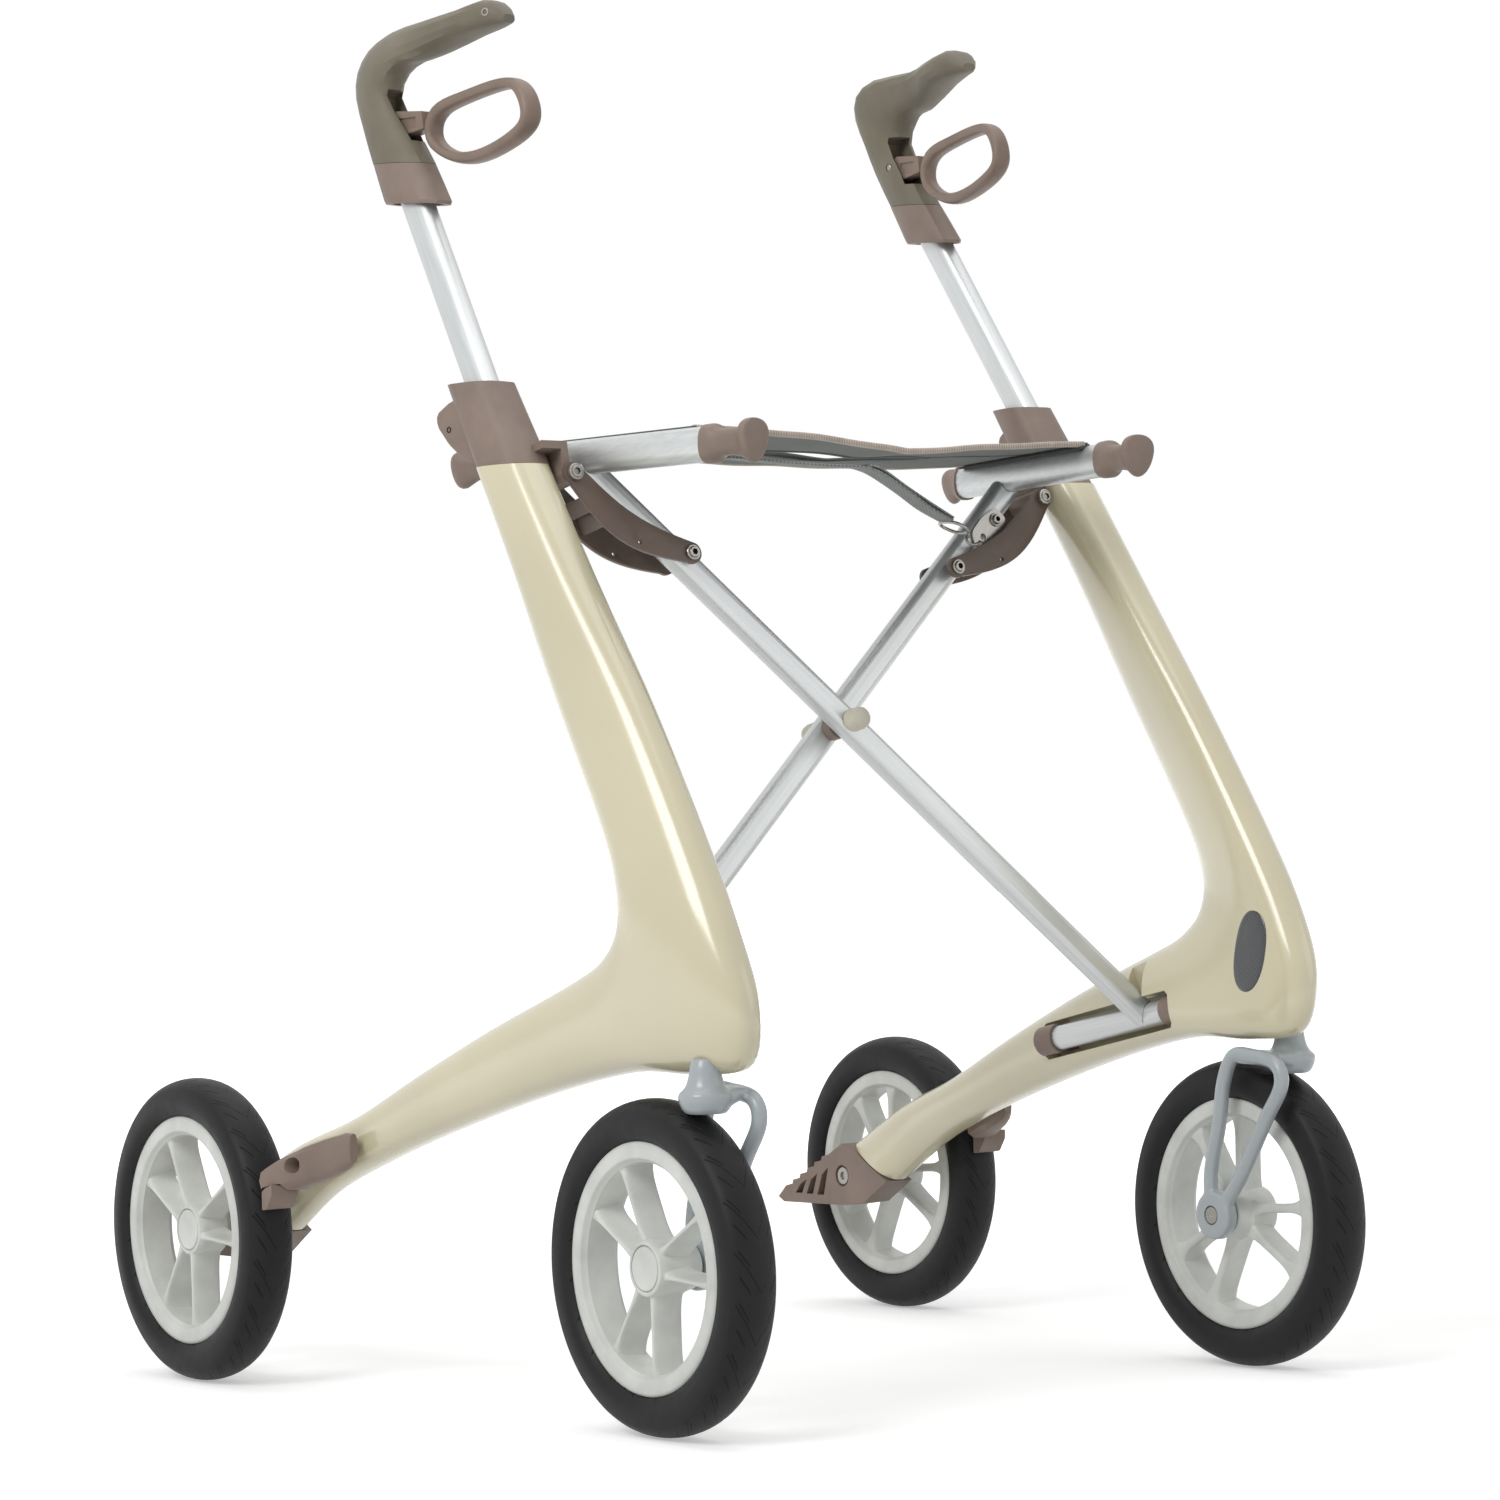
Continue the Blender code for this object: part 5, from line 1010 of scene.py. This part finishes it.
def link_outline(turns=28):
    """Banana outline round two pivots that sags outward."""
    way = LINK_RUN.normalized()
    upper, lower = [], []
    for k in range(turns + 1):
        flank = LINK_END + 0.0030 * math.sin(math.pi * k / turns)
        upper.append(link_middle(k / turns, -flank))
        lower.append(link_middle(k / turns, flank))
    angles = [math.radians(d) for d in range(15, 180, 15)]
    foot_end = [LINK_FOOT + (way * math.sin(a) - LINK_OUTWARD * math.cos(a)) * LINK_END for a in angles]
    top_end = [LINK_TOP + (-way * math.sin(a) + LINK_OUTWARD * math.cos(a)) * LINK_END for a in angles]
    return [tuple(p) for p in upper + foot_end + lower[::-1] + top_end]


def build_link(side, sign):
    """Fold link: two smooth curved plates with softened edges, joined by ribs, with a small hole each."""
    plane = -STRUT_OFFSET * sign
    outline = link_outline()
    plates = [prism("plate", outline, plane + a, plane + b, fold_point, sign)
              for a, b in ((LINK_INNER, LINK_OUTER), (-LINK_OUTER, -LINK_INNER))]
    lean = (LINK_RUN.normalized() + LINK_OUTWARD * 0.8).normalized()
    beside = Vector((lean.y, -lean.x))
    for share in (0.20, 0.33):
        rib = [tuple(link_middle(share, 0.0035) + lean * a + beside * b) for a, b in
               ((-0.0055, -0.001), (0.0055, -0.001), (0.0055, 0.001), (-0.0055, 0.001))]
        reach = LINK_INNER + 0.001
        plates.append(prism("rib", rib, plane - reach, plane + reach, fold_point, sign))
    link = plates[0]
    combined(link, plates[1:], "UNION")
    spot = LINK_TOP + LINK_RUN * 0.62 + LINK_OUTWARD * 0.0160 * math.sin(math.pi * 0.62)
    combined(link, [drill(r, -0.03, 0.03, fold_point(p.x * sign, p.y, plane), FOLD_AXIS, 20)
                    for p, r in ((spot, 0.0015), (LINK_TOP, 0.0037))], "DIFFERENCE")
    softened(link, 0.0007, 2, 50)
    dressed(link, link_plastic, side + "_link", 40, side + "_fold_link")


def rounded(keys, reach):
    """Outline through corners that are each rounded by a curve that starts a reach before them."""
    outline = []
    for i in range(len(keys)):
        a, b, c = (Vector(keys[(i + d) % len(keys)]) for d in (-1, 0, 1))
        start, end = b + (a - b).normalized() * reach, b + (c - b).normalized() * reach
        outline += [tuple(start * (1 - t) ** 2 + b * 2 * t * (1 - t) + end * t * t)
                    for t in (0, 0.25, 0.5, 0.75, 1)]
    return outline


def build_latch():
    """Steel latch: a rounded plate with its window, its bolt and the wire hook that holds the ring."""
    plane = -STRUT_OFFSET + STRUT_THICK / 2 + 0.0003
    thick = 0.0014
    keys = [(0.1400, 0.1215), (0.1520, 0.1240), (0.1640, 0.1330), (0.1700, 0.1430), (0.1620, 0.1510),
            (0.1490, 0.1440), (0.1380, 0.1330)]
    plate = prism("latch_steel", rounded(keys, 0.0038), plane, plane + thick, fold_point)
    combined(plate, [drill(r, -0.01, 0.01, fold_point(u, v, plane), FOLD_AXIS, 24)
                     for u, v, r in ((0.1475, 0.1300, 0.0024), (0.1440, 0.1262, 0.0013))], "DIFFERENCE")
    softened(plate, 0.0003, 1, 30)
    dressed(plate, plate_steel, "right_strut", 40, "latch_plate")
    head = fold_point(0.1600, 0.1420, plane + thick)
    socket_bolt("latch_bolt", head, FOLD_AXIS, 0.0046, "right_strut", 0.0032)
    turns = [(0.1440, 0.1262, 0.0008), (0.1432, 0.1256, 0.0034), (0.1405, 0.1243, 0.0052),
             (0.1368, 0.1232, 0.0056), (0.1330, 0.1236, 0.0052), (0.1306, 0.1258, 0.0044),
             (0.1312, 0.1288, 0.0034), (0.1336, 0.1296, 0.0026)]
    path = [fold_point(u, v, plane + t) for u, v, t in smooth_through(turns, 5)]
    dressed(lofted("latch_hook", tube_rings(path, 0.0011, 12)), steel, "right_strut", 60)


def build_trim(side, sign):
    """Small fittings: the grip's end ring and the lock's hole, each a ring round a sink painted near-black as
    its shade; the lock's ring is near-black too.
    """
    grip = (Vector((0.2003 * sign, -0.0093, 0.8814)), Vector((0.86 * sign, -0.51, -0.01)), 0.0026)
    lock = (Vector((0.2360 * sign, -0.0124, 0.6132)), Vector((0.98 * sign, -0.18, 0)), 0.0020)
    for name, (place, axis, radius), body, look in (("_grip_ring", grip, "_handle", steel),
                                                    ("_lock_hole", lock, "_frame", dark)):
        rows = [(radius, -0.0010), (radius, 0.0002), (radius * 0.92, 0.0005), (radius * 0.66, 0.0005),
                (radius * 0.60, 0.0002), (radius * 0.58, -0.0006), (0.0001, -0.0006)]
        ring = lofted(side + name, turned_rings(rows, place, axis, 28))
        dressed(ring, look, side + body, 40)
        # Painted shade: the faces of the sink take the near-black material.
        ring.data.materials.append(dark)
        for face in ring.data.polygons:
            if (face.center - place).length < radius * 0.6:
                face.material_index = 1


def build_rail_wrap(side, sign):
    """Dark binding where the cloth wraps over a rail, with its row of stitches."""
    body = OTHER[side] + "_strut"
    rings = []
    for k in range(25):
        y = SEAT_FRONT + (SEAT_REAR - SEAT_FRONT) * k / 24
        x, z = rail_x(y) - 0.0052, RAIL_TOP - 0.0004
        rings.append([Vector(((x + a) * sign, y, z + b - 0.6 * max(0, abs(a - 0.001) - 0.002)))
                      for a, b in oval(0.0046, 0.0011, 16, 3)])
    dressed(lofted(side + "_rail_binding", rings), woven(side + "_binding_weave", BINDING, 0.0009, 0.1),
            body, 60)
    count, inset = 36, 0.003
    bm = bmesh.new()
    for k in range(count):
        y = SEAT_FRONT + inset + (SEAT_REAR - SEAT_FRONT - 2 * inset) * k / count
        points = [Vector(((rail_x(v) - 0.0066) * sign, v, RAIL_TOP + rise))
                  for v, rise in ((y, 0.0001), (y + 0.0012, 0.0006), (y + 0.0024, 0.0001))]
        loft(bm, tube_rings(points, 0.00035, 6))
    dressed(mesh_object(side + "_binding_stitches", bm), binding_thread, body, 60)


binding_thread = moulded("binding_thread", (150, 145, 138), 0.8, 2500, 0.3)
for side, sign in SIDES.items():
    for end in WHEELS:
        build_wheel(side, sign, end)
        build_cap(side, sign, end)
    for build in (build_handle_tube, build_shell, build_fork, build_bolts, build_lever, build_link,
                  build_trim, build_rail_wrap):
        build(side, sign)
build_inlay()
build_latch()
seat_edges = build_seat_edges()
build_strap()
seat = build_seat()

# Camera where the photographer stood: its axes, its place and its focal length in pixels of the photograph
CAMERA_RIGHT = Vector((0.80831, -0.58833, -0.02251))
CAMERA_UP = Vector((0.00854, -0.02651, 0.99961))
CAMERA_AHEAD = Vector((0.58869, 0.80819, 0.01641))
CAMERA_PLACE = Vector((-1.7190, -2.3629, 0.3616))
FOCAL_PIXELS, PHOTO_PIXELS, SENSOR = 4403, 1500, 36


def build_camera():
    camera = bpy.data.objects.new("camera", bpy.data.cameras.new("camera"))
    scene.collection.objects.link(camera)
    turn = Matrix((CAMERA_RIGHT, CAMERA_UP, -CAMERA_AHEAD)).transposed().to_4x4()
    camera.matrix_world = Matrix.Translation(CAMERA_PLACE) @ turn
    camera.data.sensor_width = SENSOR
    camera.data.lens = FOCAL_PIXELS / PHOTO_PIXELS * SENSOR
    camera.data.clip_end = 60
    scene.camera = camera


def area_light(name, place, size, power):
    """Soft box that faces the middle of the rollator."""
    lamp = bpy.data.lights.new(name, "AREA")
    lamp.shape = "RECTANGLE"
    lamp.size, lamp.size_y = size
    lamp.energy = power
    holder = bpy.data.objects.new(name, lamp)
    scene.collection.objects.link(holder)
    holder.location = place
    holder.rotation_euler = (Vector((0, 0, 0.4)) - Vector(place)).to_track_quat("-Z", "Y").to_euler()


def seen_rays(graph, low, high):
    """High for what the camera sees straight or through gloss and glass, low for the light on the object."""
    path = graph.new("ShaderNodeLightPath").outputs
    total = path["Is Camera Ray"]
    for other in ("Is Glossy Ray", "Is Transmission Ray"):
        total = graph.math("MAXIMUM", total, path[other])
    return graph.spread(total, low, high)


def floor_white():
    """Matt white that keeps the soft shadows near the wheels and glows more with the distance from them."""
    s = Shade("floor_white")
    s.finished(Base_Color=(0.86, 0.86, 0.86, 1), Roughness=0.95, Specular_IOR_Level=0.1)
    away = s.new("ShaderNodeVectorMath", operation="LENGTH")
    s.link(s.coords, away.inputs[0])
    glow = s.new("ShaderNodeEmission")
    fade = s.spread(away.outputs["Value"], 0.40, 1.0, 0.7, 2.2)
    s.link(s.math("MULTIPLY", fade, seen_rays(s, 0.0, 1.0)), glow.inputs["Strength"])
    both = s.new("ShaderNodeAddShader")
    s.link(s.shader.outputs[0], both.inputs[0])
    s.link(glow.outputs[0], both.inputs[1])
    s.link(both.outputs[0], s.tree.nodes["Material Output"].inputs["Surface"])
    return s.material


def build_stage():
    """White floor and a white studio all round."""
    bm = bmesh.new()
    bmesh.ops.create_grid(bm, x_segments=1, y_segments=1, size=14)
    floor = mesh_object("floor", bm)
    floor.location.z = -0.0003
    floor.data.materials.append(floor_white())
    world = bpy.data.worlds.new("studio")
    scene.world = world
    world.use_nodes = True
    back = world.node_tree.nodes["Background"]
    back.inputs["Color"].default_value = (1, 1, 1, 1)
    light = Graph(world.node_tree)
    light.link(seen_rays(light, 0.40, 1.0), back.inputs["Strength"])


build_camera()
area_light("key_left", (-3.0, -0.9, 2.6), (1.6, 1.6), 62)
area_light("top", (0.2, 0.1, 3.2), (3.0, 3.0), 34)
area_light("fill_right", (2.4, -2.6, 1.3), (1.8, 2.0), 9)
build_stage()
scene.view_settings.view_transform = "Standard"
bpy.context.view_layer.update()
